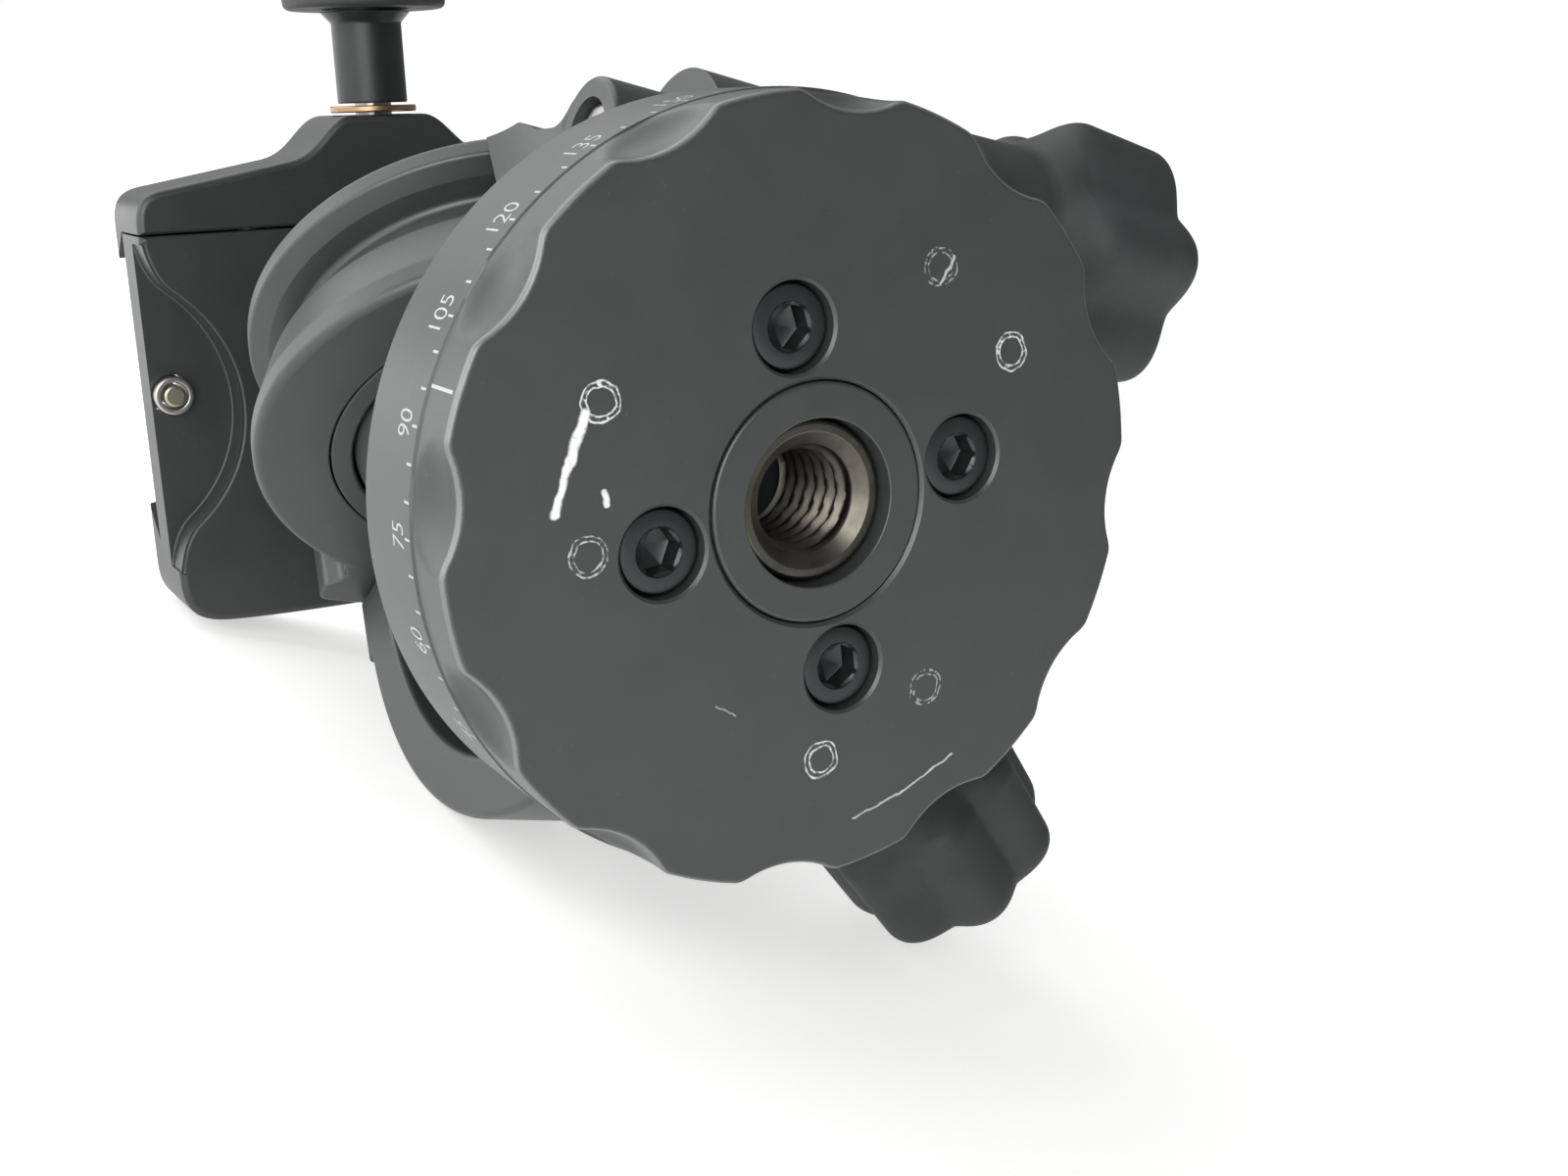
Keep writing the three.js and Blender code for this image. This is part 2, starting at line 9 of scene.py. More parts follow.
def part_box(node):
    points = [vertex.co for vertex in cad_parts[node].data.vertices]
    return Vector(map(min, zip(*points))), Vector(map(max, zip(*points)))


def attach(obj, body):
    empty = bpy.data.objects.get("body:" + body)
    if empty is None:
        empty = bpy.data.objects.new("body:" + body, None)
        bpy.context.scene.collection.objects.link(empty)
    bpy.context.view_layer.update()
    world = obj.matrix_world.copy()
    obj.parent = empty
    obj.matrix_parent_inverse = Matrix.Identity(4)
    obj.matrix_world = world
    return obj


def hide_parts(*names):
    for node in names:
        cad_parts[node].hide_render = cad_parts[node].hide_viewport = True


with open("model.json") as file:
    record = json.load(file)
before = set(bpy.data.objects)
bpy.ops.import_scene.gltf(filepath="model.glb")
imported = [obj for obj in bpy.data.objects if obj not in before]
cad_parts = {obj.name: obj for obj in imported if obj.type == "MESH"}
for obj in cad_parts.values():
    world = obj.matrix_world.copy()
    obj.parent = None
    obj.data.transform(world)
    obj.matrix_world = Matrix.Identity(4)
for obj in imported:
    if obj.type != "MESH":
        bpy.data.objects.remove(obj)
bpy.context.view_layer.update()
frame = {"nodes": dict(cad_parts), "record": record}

# An open-frame ball head with a panning base and a dovetail clamp. +Z is the pan axis.
# Shapes are worked out in millimetres and put into the scene in metres.

mm = 0.001
jointAt = {joint["name"]: joint for joint in frame["record"]["behaviour"]["joints"]}


def boxMm(node):
    low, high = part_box(node)
    return np.array(low) / mm, np.array(high) / mm


def turnedBy(angle, axis):
    return np.array(Matrix.Rotation(math.radians(angle), 4, axis))


def movedBy(x, y, z):
    return np.array(Matrix.Translation((x, y, z)))


# Where the sub-assemblies stand, from the frame.
ballCentre = np.array(jointAt["tilt"]["pos_m"]) / mm
housingTilt = 44
boltAxis = np.array(jointAt["tension_turn"]["pos_m"]) / mm
panKnobAxis = np.array(jointAt["pan_lock_turn"]["pos_m"]) / mm
panKnobTurn = math.degrees(math.atan2(panKnobAxis[1], panKnobAxis[0]))
clampKnobAxis = np.array(jointAt["clamp_turn"]["pos_m"]) / mm
clampTurn = math.degrees(math.atan2(clampKnobAxis[1], clampKnobAxis[0])) + 90
housingPlace = movedBy(*ballCentre) @ turnedBy(housingTilt, "X")
boltPlace = movedBy(0, boltAxis[1], boltAxis[2]) @ turnedBy(90, "Y")
panKnobPlace = turnedBy(panKnobTurn, "Z") @ movedBy(0, 0, panKnobAxis[2]) @ turnedBy(90, "Y")
clampPlace = turnedBy(clampTurn, "Z")
clampKnobPlace = clampPlace @ movedBy(0, 0, clampKnobAxis[2]) @ turnedBy(90, "X")
alongX = turnedBy(90, "Z") @ turnedBy(90, "X")  # stands a slab's outline up in the YZ plane, run along x


# Corners with radii become one line of points: each corner (a, b, radius) is an arc of a circle
# tangent to both of its sides.
def roundedLine(corners, closed=True, steps=6):
    line = []
    count = len(corners)
    for i, corner in enumerate(corners):
        here = np.array(corner[:2], float)
        radius = corner[2] if len(corner) > 2 else 0
        if radius == 0 or (not closed and i in (0, count - 1)):
            line.append(here[None])
            continue
        before = np.array(corners[i - 1][:2], float) - here
        after = np.array(corners[(i + 1) % count][:2], float) - here
        lengths = np.linalg.norm(before), np.linalg.norm(after)
        before, after = before / lengths[0], after / lengths[1]
        half = math.acos(np.clip(before @ after, -1, 1)) / 2
        reach = min(radius / math.tan(half), lengths[0] * 0.49, lengths[1] * 0.49)
        radius = reach * math.tan(half)
        hold = 0.04  # a point on each side just past the arc keeps the flats flat
        middle = here + (before + after) / np.linalg.norm(before + after) * radius / math.sin(half)
        start, end = here + before * reach - middle, here + after * reach - middle
        sweep = math.atan2(start[0] * end[1] - start[1] * end[0], start @ end)
        angles = np.linspace(0, sweep, steps + 1)[:, None]
        across = np.array([-start[1], start[0]])
        line.append((here + before * (reach + hold))[None])
        line.append(middle + start * np.cos(angles) + across * np.sin(angles))
        line.append((here + after * (reach + hold))[None])
    return np.concatenate(line)


# Quads over a grid of points, closed round its rows, its columns, or both.
def gridFaces(rows, columns, closedRows, closedColumns):
    i = np.arange(rows if closedRows else rows - 1)[:, None]
    j = np.arange(columns if closedColumns else columns - 1)[None]
    nextI, nextJ = (i + 1) % rows, (j + 1) % columns
    quads = np.stack(np.broadcast_arrays(i * columns + j, i * columns + nextJ, nextI * columns + nextJ,
                                         nextI * columns + j), -1)
    return quads.reshape(-1, 4)


# A mesh object from points in mm and a place. Doubles are merged, so poles and seams close.
def meshObject(name, points, faces, place=None):
    points = np.asarray(points, float).reshape(-1, 3)
    if place is not None:
        points = points @ place[:3, :3].T + place[:3, 3]
    mesh = bpy.data.meshes.new(name)
    faces = faces.tolist() if isinstance(faces, np.ndarray) else faces
    mesh.from_pydata((points * mm).tolist(), [], faces)
    mesh.validate()
    obj = bpy.data.objects.new(name, mesh)
    bpy.context.scene.collection.objects.link(obj)
    tidyMesh(obj)
    return obj


# Merges doubles, closes holes of up to so many sides, and turns the normals outwards.
def tidyMesh(obj, fill=0, angle=32):
    import bmesh
    work = bmesh.new()
    work.from_mesh(obj.data)
    bmesh.ops.remove_doubles(work, verts=work.verts, dist=2e-7)
    bmesh.ops.dissolve_degenerate(work, edges=work.edges, dist=1e-8)
    if fill:
        bmesh.ops.holes_fill(work, edges=work.edges, sides=fill)
    bmesh.ops.recalc_face_normals(work, faces=work.faces)
    work.to_mesh(obj.data)
    work.free()
    obj.data.polygons.foreach_set("use_smooth", np.ones(len(obj.data.polygons), bool))
    obj.data.set_sharp_from_angle(angle=math.radians(angle))
    obj.data.update()


# A turned piece: x = r cos a, y = r sin a for each (r, z) of the profile, a full turn of angles a.
def turned(name, corners, place=None, count=160, closed=True):
    line = roundedLine(corners, closed)
    a = np.linspace(0, 2 * np.pi, count, endpoint=False)
    r, z = line[:, :1], line[:, 1:]
    points = np.stack([r * np.cos(a), r * np.sin(a), z + 0 * a], -1)
    return meshObject(name, points, gridFaces(len(line), count, closed, True), place)


# A curved side of an outline: a cubic Bezier between two points.
def bezier(p0, p1, p2, p3, count=14):
    t = np.linspace(0, 1, count)[:, None]
    p0, p1, p2, p3 = (np.array(p, float) for p in (p0, p1, p2, p3))
    return p0 * (1 - t) ** 3 + 3 * p1 * t * (1 - t) ** 2 + 3 * p2 * t * t * (1 - t) + p3 * t ** 3


# A slab: its outline (x, y) carried up z, drawn in along its own normals at both ends by a rounded edge.
def slab(name, outline, z0, z1, edge=0.4, place=None, steps=3):
    outline = np.asarray(outline, float)
    ahead, behind = np.roll(outline, -1, 0) - outline, outline - np.roll(outline, 1, 0)
    ahead /= np.linalg.norm(ahead, axis=1)[:, None] + 1e-12
    behind /= np.linalg.norm(behind, axis=1)[:, None] + 1e-12
    along = ahead + behind
    along /= np.linalg.norm(along, axis=1)[:, None] + 1e-12
    turn = np.sign(np.sum(outline[:, 0] * np.roll(outline[:, 1], -1) - np.roll(outline[:, 0], -1) * outline[:, 1]))
    inward = np.stack([-along[:, 1], along[:, 0]], -1) * turn
    inward /= np.maximum(np.sum(along * ahead, 1), 0.5)[:, None]
    a = np.linspace(0, np.pi / 2, steps + 1)
    hold = min(0.05, edge)
    inset = np.concatenate([[edge + hold], edge * (1 - np.sin(a)), [0, 0], edge * (1 - np.cos(a)), [edge + hold]])
    height = np.concatenate([[z0], z0 + edge * (1 - np.cos(a)), [z0 + edge + hold, z1 - edge - hold],
                             z1 - edge * (1 - np.sin(a)), [z1]])
    flat = outline[None] + inward[None] * inset[:, None, None]
    points = np.concatenate([flat, np.broadcast_to(height[:, None, None], flat.shape[:2] + (1,))], -1)
    rows, columns = points.shape[:2]
    faces = gridFaces(rows, columns, False, True).tolist()
    faces.append(list(range(columns))[::-1])
    faces.append(list(range((rows - 1) * columns, rows * columns)))
    return meshObject(name, points, faces, place)


# Joins or cuts with other solids, which are then removed.
def combined(obj, operation, *tools):
    for tool in tools:
        change = obj.modifiers.new("change", "BOOLEAN")
        change.operation = operation
        change.solver = "EXACT"
        change.object = tool
    bpy.context.view_layer.update()
    shaped = bpy.data.meshes.new_from_object(obj.evaluated_get(bpy.context.evaluated_depsgraph_get()))
    obj.modifiers.clear()
    obj.data = shaped
    for tool in tools:
        bpy.data.objects.remove(tool, do_unlink=True)
    tidyMesh(obj, fill=8)
    return obj


def peg(r, z0, z1, place=None, count=64):
    return turned("tool", [(0, z0), (r, z0), (r, z1), (0, z1)], place, count, False)


def finished(obj, material, body, slot, *nodes):
    obj.data.materials.clear()
    obj.data.materials.append(material)
    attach(obj, body)
    if nodes:
        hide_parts(*nodes)
    return obj


# Shader maths: a Wire is one socket, and arithmetic on it adds Math nodes.
class Wire:
    def __init__(self, shader, socket):
        self.shader, self.socket = shader, socket

    def maths(self, operation, *others, clamp=False):
        node = self.shader.node("ShaderNodeMath", {"operation": operation, "use_clamp": clamp}, self, *others)
        return node[0]

    def __add__(self, other):
        return self.maths("ADD", other)

    def __sub__(self, other):
        return self.maths("SUBTRACT", other)

    def __rsub__(self, other):
        return self.shader.node("ShaderNodeMath", {"operation": "SUBTRACT"}, other, self)[0]

    def __mul__(self, other):
        return self.maths("MULTIPLY", other)

    def __truediv__(self, other):
        return self.maths("DIVIDE", other)

    def __pow__(self, other):
        return self.maths("POWER", other)

    def __gt__(self, other):
        return self.maths("GREATER_THAN", other)

    def __lt__(self, other):
        return self.maths("LESS_THAN", other)

    __radd__, __rmul__ = __add__, __mul__

    def smooth(self, low, high, toLow=0.0, toHigh=1.0):
        settings = {"interpolation_type": "SMOOTHSTEP"}
        return self.shader.node("ShaderNodeMapRange", settings, self, low, high, toLow, toHigh)[0]


class Nodes:
    def __init__(self, tree):
        self.tree = tree

    # One way to add any node: its type, its settings, then its inputs in order or by name. Returns its outputs.
    def node(self, kind, settings, *inputs, **named):
        node = self.tree.nodes.new(kind)
        for key, value in settings.items():
            setattr(node, key, value)
        sockets = [s for s in node.inputs if s.enabled]
        pairs = list(zip(sockets, inputs)) + [(node.inputs[key], value) for key, value in named.items()]
        for socket, value in pairs:
            self.feed(socket, value)
        return [Wire(self, s) for s in node.outputs if s.enabled]

    def feed(self, socket, value):
        if isinstance(value, Wire):
            self.tree.links.new(value.socket, socket)
        else:
            socket.default_value = value


class Shader(Nodes):
    def __init__(self, name, colour, roughness, metallic, **fixed):
        self.material = bpy.data.materials.new(name)
        self.material.use_nodes = True
        super().__init__(self.material.node_tree)
        self.surface = self.tree.nodes["Principled BSDF"]
        self.set("Base Color", (*colour, 1))
        self.set("Roughness", roughness)
        self.set("Metallic", metallic)
        for socket, value in fixed.items():
            self.set(socket.replace("_", " "), value)
        self.place = self.node("ShaderNodeTexCoord", {})[3]
        parts = self.node("ShaderNodeSeparateXYZ", {}, self.place)
        self.x, self.y, self.z = parts[0] * 1000, parts[1] * 1000, parts[2] * 1000

    def set(self, socket, value):
        self.feed(self.surface.inputs[socket], value)

    def noise(self, scale, detail=3, roughness=0.55):
        return self.node("ShaderNodeTexNoise", {}, self.place, scale, detail, roughness)[0]

    def mix(self, factor, first, second):
        first = first if isinstance(first, Wire) else (*first, 1)
        second = second if isinstance(second, Wire) else (*second, 1)
        return self.node("ShaderNodeMix", {"data_type": "RGBA"}, factor, first, second)[0]

    def bump(self, height, strength, distance):
        self.set("Normal", self.node("ShaderNodeBump", {}, Strength=strength, Distance=distance, Height=height)[0])


finishes = {
    "anodised": (0.074, 0.079, 0.078), "anodisedRough": 0.4, "anodisedMetal": 0.55,
    "rubber": (0.028, 0.03, 0.03), "rubberRough": 0.66,
    "steel": (0.5, 0.48, 0.45), "bush": (0.13, 0.125, 0.105), "brass": (0.36, 0.23, 0.13),
    "oxide": (0.06, 0.062, 0.064), "polymer": (0.66, 0.64, 0.58), "engraved": (0.4, 0.41, 0.41),
}


# Blasted and anodised aluminium: a fine grain, and soft cloudy patches in tone and gloss. A factor below 1
# scales all of its colour down, which paints shade into a copy of the finish.
def anodisedShader(name="anodised", marks=False, shadeFactor=1.0):
    s = Shader(name, finishes["anodised"], finishes["anodisedRough"], finishes["anodisedMetal"])
    dim, lit = (tuple(c * shadeFactor for c in colour) for colour in ((0.072, 0.078, 0.076), (0.078, 0.084, 0.083)))
    cloud = s.noise(140, 4)
    grain = s.noise(5200, 2, 0.6)
    speck = s.noise(2100, 3).smooth(0.69, 0.74)
    colour = s.mix(cloud.smooth(0.3, 0.7), dim, lit)
    colour = s.mix(speck * 0.22, colour, (0.2, 0.21, 0.21))
    rough = cloud * 0.1 + grain * 0.08 + (finishes["anodisedRough"] - 0.09)
    if marks:
        colour, rough = wornUnderside(s, colour, rough)
    s.set("Base Color", colour)
    s.set("Roughness", rough)
    s.bump(grain, 0.12, 0.00006)
    return s.material


underside = {
    "rings": [(16.2, -15.3, 1.0), (-21.2, -5.2, 1.0), (-19.9, 6.5, 0.55), (5.3, 21.5, 1.0), (14.7, 14.5, 0.3),
              (7.1, -20.8, 0.2)],  # x, y, strength
    "ringRadius": 1.42, "ringHalf": 0.2, "ringLine": 0.1,
    "scratches": [(-22.3, -4.1, -22.9, -0.4, 0.52, 1), (-22.9, -0.4, -23.3, 3.8, 0.42, 1),
                  (-19.6, 1.5, -19.2, 2.4, 0.3, 0.9), (9.8, 26.6, 14.4, 24.2, 0.13, 0.5),
                  (14.4, 24.2, 19.1, 20.5, 0.13, 0.6), (-6.0, 17.5, -4.2, 18.1, 0.1, 0.3),
                  (7.5, -19.4, 8.3, -21.9, 0.16, 0.6)],  # from, to, half width, strength
}


# Rub marks on the underside: rings d = |distance to a centre - radius| and scratches d = distance to a line,
# both bent and broken up by noise. A lighter band round the rim's lower edge is a painted highlight.
def wornUnderside(s, colour, rough):
    flat = s.z < 0.25
    chew, bend = s.noise(1500, 5, 0.7), s.noise(700, 2) - 0.5
    px, py = s.x + bend * 0.7, s.y + (s.noise(560, 2) - 0.5) * 0.7
    wearAndHighlight = flat * 0
    for cx, cy, strength in underside["rings"]:
        away = ((px - cx) ** 2 + (py - cy) ** 2) ** 0.5
        off = away - underside["ringRadius"]
        edge = (off * off) ** 0.5 - underside["ringHalf"]
        lines = (edge * edge).smooth(underside["ringLine"] ** 2, 0.0) * chew.smooth(0.5 - 0.2 * strength, 0.56)
        patches = (off * off).smooth(0.09, 0.02) * chew.smooth(0.6 - 0.06 * strength, 0.63)
        wearAndHighlight = wearAndHighlight.maths("MAXIMUM", lines.maths("MAXIMUM", patches) * (0.3 + 0.5 * strength))
    for ax, ay, bx, by, width, strength in underside["scratches"]:
        dx, dy = bx - ax, by - ay
        along = ((px - ax) * dx + (py - ay) * dy) / (dx * dx + dy * dy)
        along = along.maths("MINIMUM", 1.0).maths("MAXIMUM", 0.0)
        gapX, gapY = px - ax - along * dx, py - ay - along * dy
        line = (gapX * gapX + gapY * gapY).smooth(width ** 2, (width * 0.3) ** 2)
        wearAndHighlight = wearAndHighlight.maths("MAXIMUM", line * chew.smooth(0.2, 0.44) * strength)
    # A lighter band along the rim's lower edge, outside radius 28: a painted highlight.
    rimHighlightBand = (s.x ** 2 + s.y ** 2) > 28 ** 2
    edge = (s.z + chew * 0.12).smooth(0.07, 0.2) * s.z.smooth(0.6, 0.32)
    wearAndHighlight = (wearAndHighlight * flat).maths("MAXIMUM", rimHighlightBand * edge * 0.13)
    colour = s.mix(wearAndHighlight, colour, (1.0, 1.0, 1.0))
    return colour, rough + wearAndHighlight * 0.2


# Moulded rubber: a fine pebbled grain with faint clouds of tone.
def rubberShader():
    s = Shader("rubber", finishes["rubber"], finishes["rubberRough"], 0.0)
    cloud, grain = s.noise(160, 4), s.noise(3800, 3, 0.65)
    s.set("Base Color", s.mix(cloud.smooth(0.25, 0.75), (0.024, 0.026, 0.026), (0.034, 0.036, 0.037)))
    s.set("Roughness", grain * 0.16 + (finishes["rubberRough"] - 0.08))
    s.bump(grain, 0.25, 0.00008)
    return s.material


# Turned metal: soft clouds of tarnish in tone and gloss, and a fine grain in gloss and height.
def turnedMetalShader(name, colour, roughness, tarnish=0.25):
    s = Shader(name, colour, roughness, 1.0)
    cloud, grain = s.noise(420, 4), s.noise(6000, 2)
    dark = tuple(c * 0.55 for c in colour)
    s.set("Base Color", s.mix(cloud.smooth(0.4, 0.75) * tarnish, colour, dark))
    s.set("Roughness", cloud * 0.15 + grain * 0.1 + (roughness - 0.1))
    s.bump(grain, 0.15, 0.00004)
    return s.material


# Any other smooth finish: faint clouds of tone and a fine grain in gloss and height.
def plainShader(name, colour, roughness, metallic=0.0):
    s = Shader(name, colour, roughness, metallic)
    cloud, grain = s.noise(300, 3), s.noise(4000, 2)
    s.set("Base Color", s.mix(cloud, tuple(c * 0.9 for c in colour), tuple(min(c * 1.1, 1) for c in colour)))
    s.set("Roughness", grain * 0.12 + (roughness - 0.05))
    s.bump(grain, 0.1, 0.00004)
    return s.material


anodised = anodisedShader()
# The base's finish: real rub marks on the underside, and a painted highlight along the rim's lower edge.
anodisedWearAndHighlight = anodisedShader("anodisedWearAndHighlight", marks=True)
# The clamp's copy of the anodised finish, darkened: painted shade, where the base shades the clamp.
anodisedClampShade = anodisedShader("anodisedClampShade", shadeFactor=0.72)
# The clamp knob shaft's copy, darkened further: painted shade.
anodisedDeepShade = anodisedShader("anodisedDeepShade", shadeFactor=0.42)
rubber = rubberShader()
steel = turnedMetalShader("steel", finishes["steel"], 0.3)
bushSteel = turnedMetalShader("bushSteel", finishes["bush"], 0.34, 0.6)
brass = turnedMetalShader("brass", finishes["brass"], 0.32)
paleBrass = turnedMetalShader("paleBrass", (0.5, 0.46, 0.36), 0.28)
oxide = plainShader("blackOxide", finishes["oxide"], 0.38, 0.85)
polymer = plainShader("polymer", finishes["polymer"], 0.5)
engraved = plainShader("engraved", finishes["engraved"], 0.6)
print("materials made")

panBase = {
    "grip": 5.3, "scallops": 12, "firstScallop": -38, "scallopR": 9.5, "scallopDepth": 1.55, "soft": 0.5,
    "edge": 0.5, "runout": 4.2, "ridge": 0.14, "cavityR": 26.2, "cavityFloor": 8, "bossHole": 10.12,
    "screwCircle": 14.6, "firstScrew": -22.7, "boreR": 3.75, "boreDepth": 5.3,
}


# The base's skin: at angle a and height z the radius is the base's own, or the nearest scallop's wall
# D cos t - sqrt(s^2 - D^2 sin^2 t), with t the angle from the scallop's middle, D its distance and s its radius.
def makePanBase():
    low, high = boxMm("pan_base")
    p = panBase
    radius = -low[0] - p["ridge"]  # the gripped part stands a little inside the band above it
    top = high[2]
    a = np.linspace(0, 2 * np.pi, 1440, endpoint=False)
    pitch = 2 * np.pi / p["scallops"]
    t = (a - math.radians(p["firstScallop"]) + pitch / 2) % pitch - pitch / 2
    reach = radius - p["scallopDepth"] + p["scallopR"]

    def wall(shrink):
        size = p["scallopR"] - shrink
        inside = size ** 2 - (reach * np.sin(t)) ** 2
        near = np.where(inside > 0, reach * np.cos(t) - np.sqrt(np.maximum(inside, 0)), radius + 2)
        gap = np.clip(0.5 + (radius - near) / (2 * p["soft"]), 0, 1)  # smooth minimum of the two radii
        return radius + (near - radius) * gap - p["soft"] * gap * (1 - gap)

    edge, grip = p["edge"], p["grip"]
    rows = [(wall(0) - edge - 0.05, 0)]
    for k in np.linspace(0, 1, 5):  # rounded lower edge that follows the scallops
        rows.append((wall(0) - edge * (1 - math.sin(k * math.pi / 2)), edge * (1 - math.cos(k * math.pi / 2))))
    rows.append((wall(0), edge + 0.05))
    for k in np.linspace(0, 1, 14):  # each scallop runs out towards the band in a hollow sweep
        rows.append((wall(p["scallopDepth"] * 1.05 * k ** 2.4), grip - p["runout"] * (1 - k)))
    full = radius + p["ridge"] + 0 * a
    rows += [(full - 0.03, grip + 0.1), (full, grip + 0.18), (full, grip + 0.24), (full, top - 0.55),
             (full, top - 0.5), (full - 0.12, top - 0.17), (full - 0.45, top), (full - 0.5, top)]
    inner = [(p["cavityR"] + 0.3, top), (p["cavityR"], top - 0.3), (p["cavityR"], p["cavityFloor"]),
             (p["bossHole"], p["cavityFloor"]), (p["bossHole"], 0.3), (p["bossHole"] + 0.3, 0)]
    rows += [(r + 0 * a, z) for r, z in inner]
    points = np.stack([np.stack([r * np.cos(a), r * np.sin(a), z + 0 * a], -1) for r, z in rows])
    base = meshObject("panning_base", points, gridFaces(len(rows), len(a), True, True))
    cutters = []
    for k in range(4):
        angle = math.radians(p["firstScrew"] + 90 * k)
        place = movedBy(p["screwCircle"] * math.cos(angle), p["screwCircle"] * math.sin(angle), 0)
        r, depth = p["boreR"], p["boreDepth"]
        corners = [(0, -1), (r + 0.25, -1), (r + 0.25, 0), (r, 0.25), (r, depth), (2.35, depth), (2.35, 9), (0, 9)]
        cutters.append(turned("tool", corners, place, 72, False))
    combined(base, "DIFFERENCE", *cutters)
    return finished(base, anodisedWearAndHighlight, "base", "anodised", "pan_base")


makePanBase()
print("base made")

scale = {"step": 5, "perNumber": 15, "zero": 91.4, "tick": (5.6, 6.6), "width": 0.2, "number": 6.95,
         "height": 2.45, "narrow": 0.66, "thin": -0.03, "proud": 0.01, "index": (187.1, 0.9, 5.1, 0.28)}


# The degree scale: flat marks (s, h) wrapped on the rim, with angle = s / radius and z = h.
def makeScale():
    radius = -boxMm("pan_base")[0][0]
    meshes = []

    def wrap(flat, faces, degrees, deeper=0.0):
        angle = math.radians(scale["zero"] + degrees) + flat[:, 0] / radius
        r = radius + scale["proud"] + deeper
        return np.stack([r * np.cos(angle), r * np.sin(angle), flat[:, 1]], -1), faces

    at, low, high, width = scale["index"]
    flat = np.array([(-width / 2, low), (width / 2, low), (width / 2, high), (-width / 2, high)])
    meshes.append(wrap(flat, [(0, 1, 2, 3)], at - scale["zero"], -panBase["ridge"]))
    for degrees in range(0, 360, scale["step"]):
        half = scale["width"] / 2
        low, high = scale["tick"]
        flat = np.array([(-half, low), (half, low), (half, high), (-half, high)])
        meshes.append(wrap(flat, [(0, 1, 2, 3)], degrees))
        if degrees % scale["perNumber"]:
            continue
        curve = bpy.data.curves.new("digits", "FONT")
        curve.body = str(degrees)
        curve.size = scale["height"] * 1.42
        curve.offset = scale["thin"]
        curve.align_x = "CENTER"
        curve.resolution_u = 4
        text = bpy.data.objects.new("digits", curve)
        bpy.context.scene.collection.objects.link(text)
        bpy.context.view_layer.update()
        letters = bpy.data.meshes.new_from_object(text.evaluated_get(bpy.context.evaluated_depsgraph_get()))
        flat = np.empty(len(letters.vertices) * 3)
        letters.vertices.foreach_get("co", flat)
        flat = flat.reshape(-1, 3)[:, :2] * (scale["narrow"], 1)
        flat[:, 1] += scale["number"]
        meshes.append(wrap(flat, [tuple(f.vertices) for f in letters.polygons], degrees))
        bpy.data.objects.remove(text, do_unlink=True)
    points, faces, start = [], [], 0
    for part, partFaces in meshes:
        points.append(part)
        faces += [tuple(i + start for i in face) for face in partFaces]
        start += len(part)
    marks = meshObject("degree_scale", np.concatenate(points), faces)
    return finished(marks, engraved, "base", "anodised")


makeScale()
print("scale made")

spindle = {"boss": 9.98, "hole": 7.0, "holeTop": 14.4, "flangeLow": 8.3, "flange": 19.5, "flangeTop": 11.5,
           "post": 12, "recess": 8.6, "recessFloor": 17}
bush = {"outer": 6.7, "lip": 5.75, "minor": 4.05, "major": 4.62, "pitch": 1.5875, "mouth": 1.4, "top": 13}


# The spindle, turned: corners are (radius, height, rounding), from the bush's hole out and over the post.
def makeSpindle():
    top = boxMm("spindle")[1][2]
    p = spindle
    corners = [(0, p["holeTop"]), (p["hole"], p["holeTop"]), (p["hole"], 0.05, 0.15), (p["boss"], 0.05, 0.3),
               (p["boss"], p["flangeLow"]), (p["flange"], p["flangeLow"]), (p["flange"], p["flangeTop"], 0.3),
               (p["post"], p["flangeTop"]), (p["post"], top, 0.4), (p["recess"], top, 0.4),
               (p["recess"], p["recessFloor"]), (0, p["recessFloor"])]
    piece = turned("spindle_post", corners, count=200, closed=False)
    return finished(piece, anodised, "base", "anodised", "spindle")


# The bush: its bore is a helix, r = minor + (major - minor) * saw((z - pitch * a / 2 pi) / pitch).
def makeBush():
    p = bush
    a = np.linspace(0, 2 * np.pi, 128, endpoint=False)
    z = np.arange(p["mouth"] + 0.9, p["top"] - 0.2, p["pitch"] / 12)[:, None]
    turn = (z - p["pitch"] * a / (2 * np.pi)) / p["pitch"] % 1
    saw = np.clip(np.abs(turn - 0.5) * 2.6 - 0.15, 0, 1)
    entry = np.clip((z - p["mouth"] - 0.9) / 1.2, 0, 1)
    thread = p["minor"] + (p["major"] - p["minor"]) * (1 - (1 - saw) * entry)
    bore = np.stack([thread * np.cos(a), thread * np.sin(a), z + 0 * a], -1)
    skin = roundedLine([(p["minor"], p["top"]), (p["outer"], p["top"], 0.2), (p["outer"], p["mouth"], 0.35),
                        (p["lip"], p["mouth"], 0.15), (p["major"] + 0.05, p["mouth"] + 0.85)], False, 3)
    r = skin[:, :1]
    outer = np.stack([r * np.cos(a), r * np.sin(a), skin[:, 1:] + 0 * a], -1)
    points = np.concatenate([bore, outer])
    piece = meshObject("threaded_bush", points, gridFaces(len(points), len(a), True, True))
    return finished(piece, bushSteel, "base", "steel", "tripod_bush")


makeSpindle()
makeBush()

socketScrew = {"head": 3.45, "height": 4.2, "acrossFlats": 3.5, "socketDepth": 2.3, "shank": 2.05, "length": 6.2}


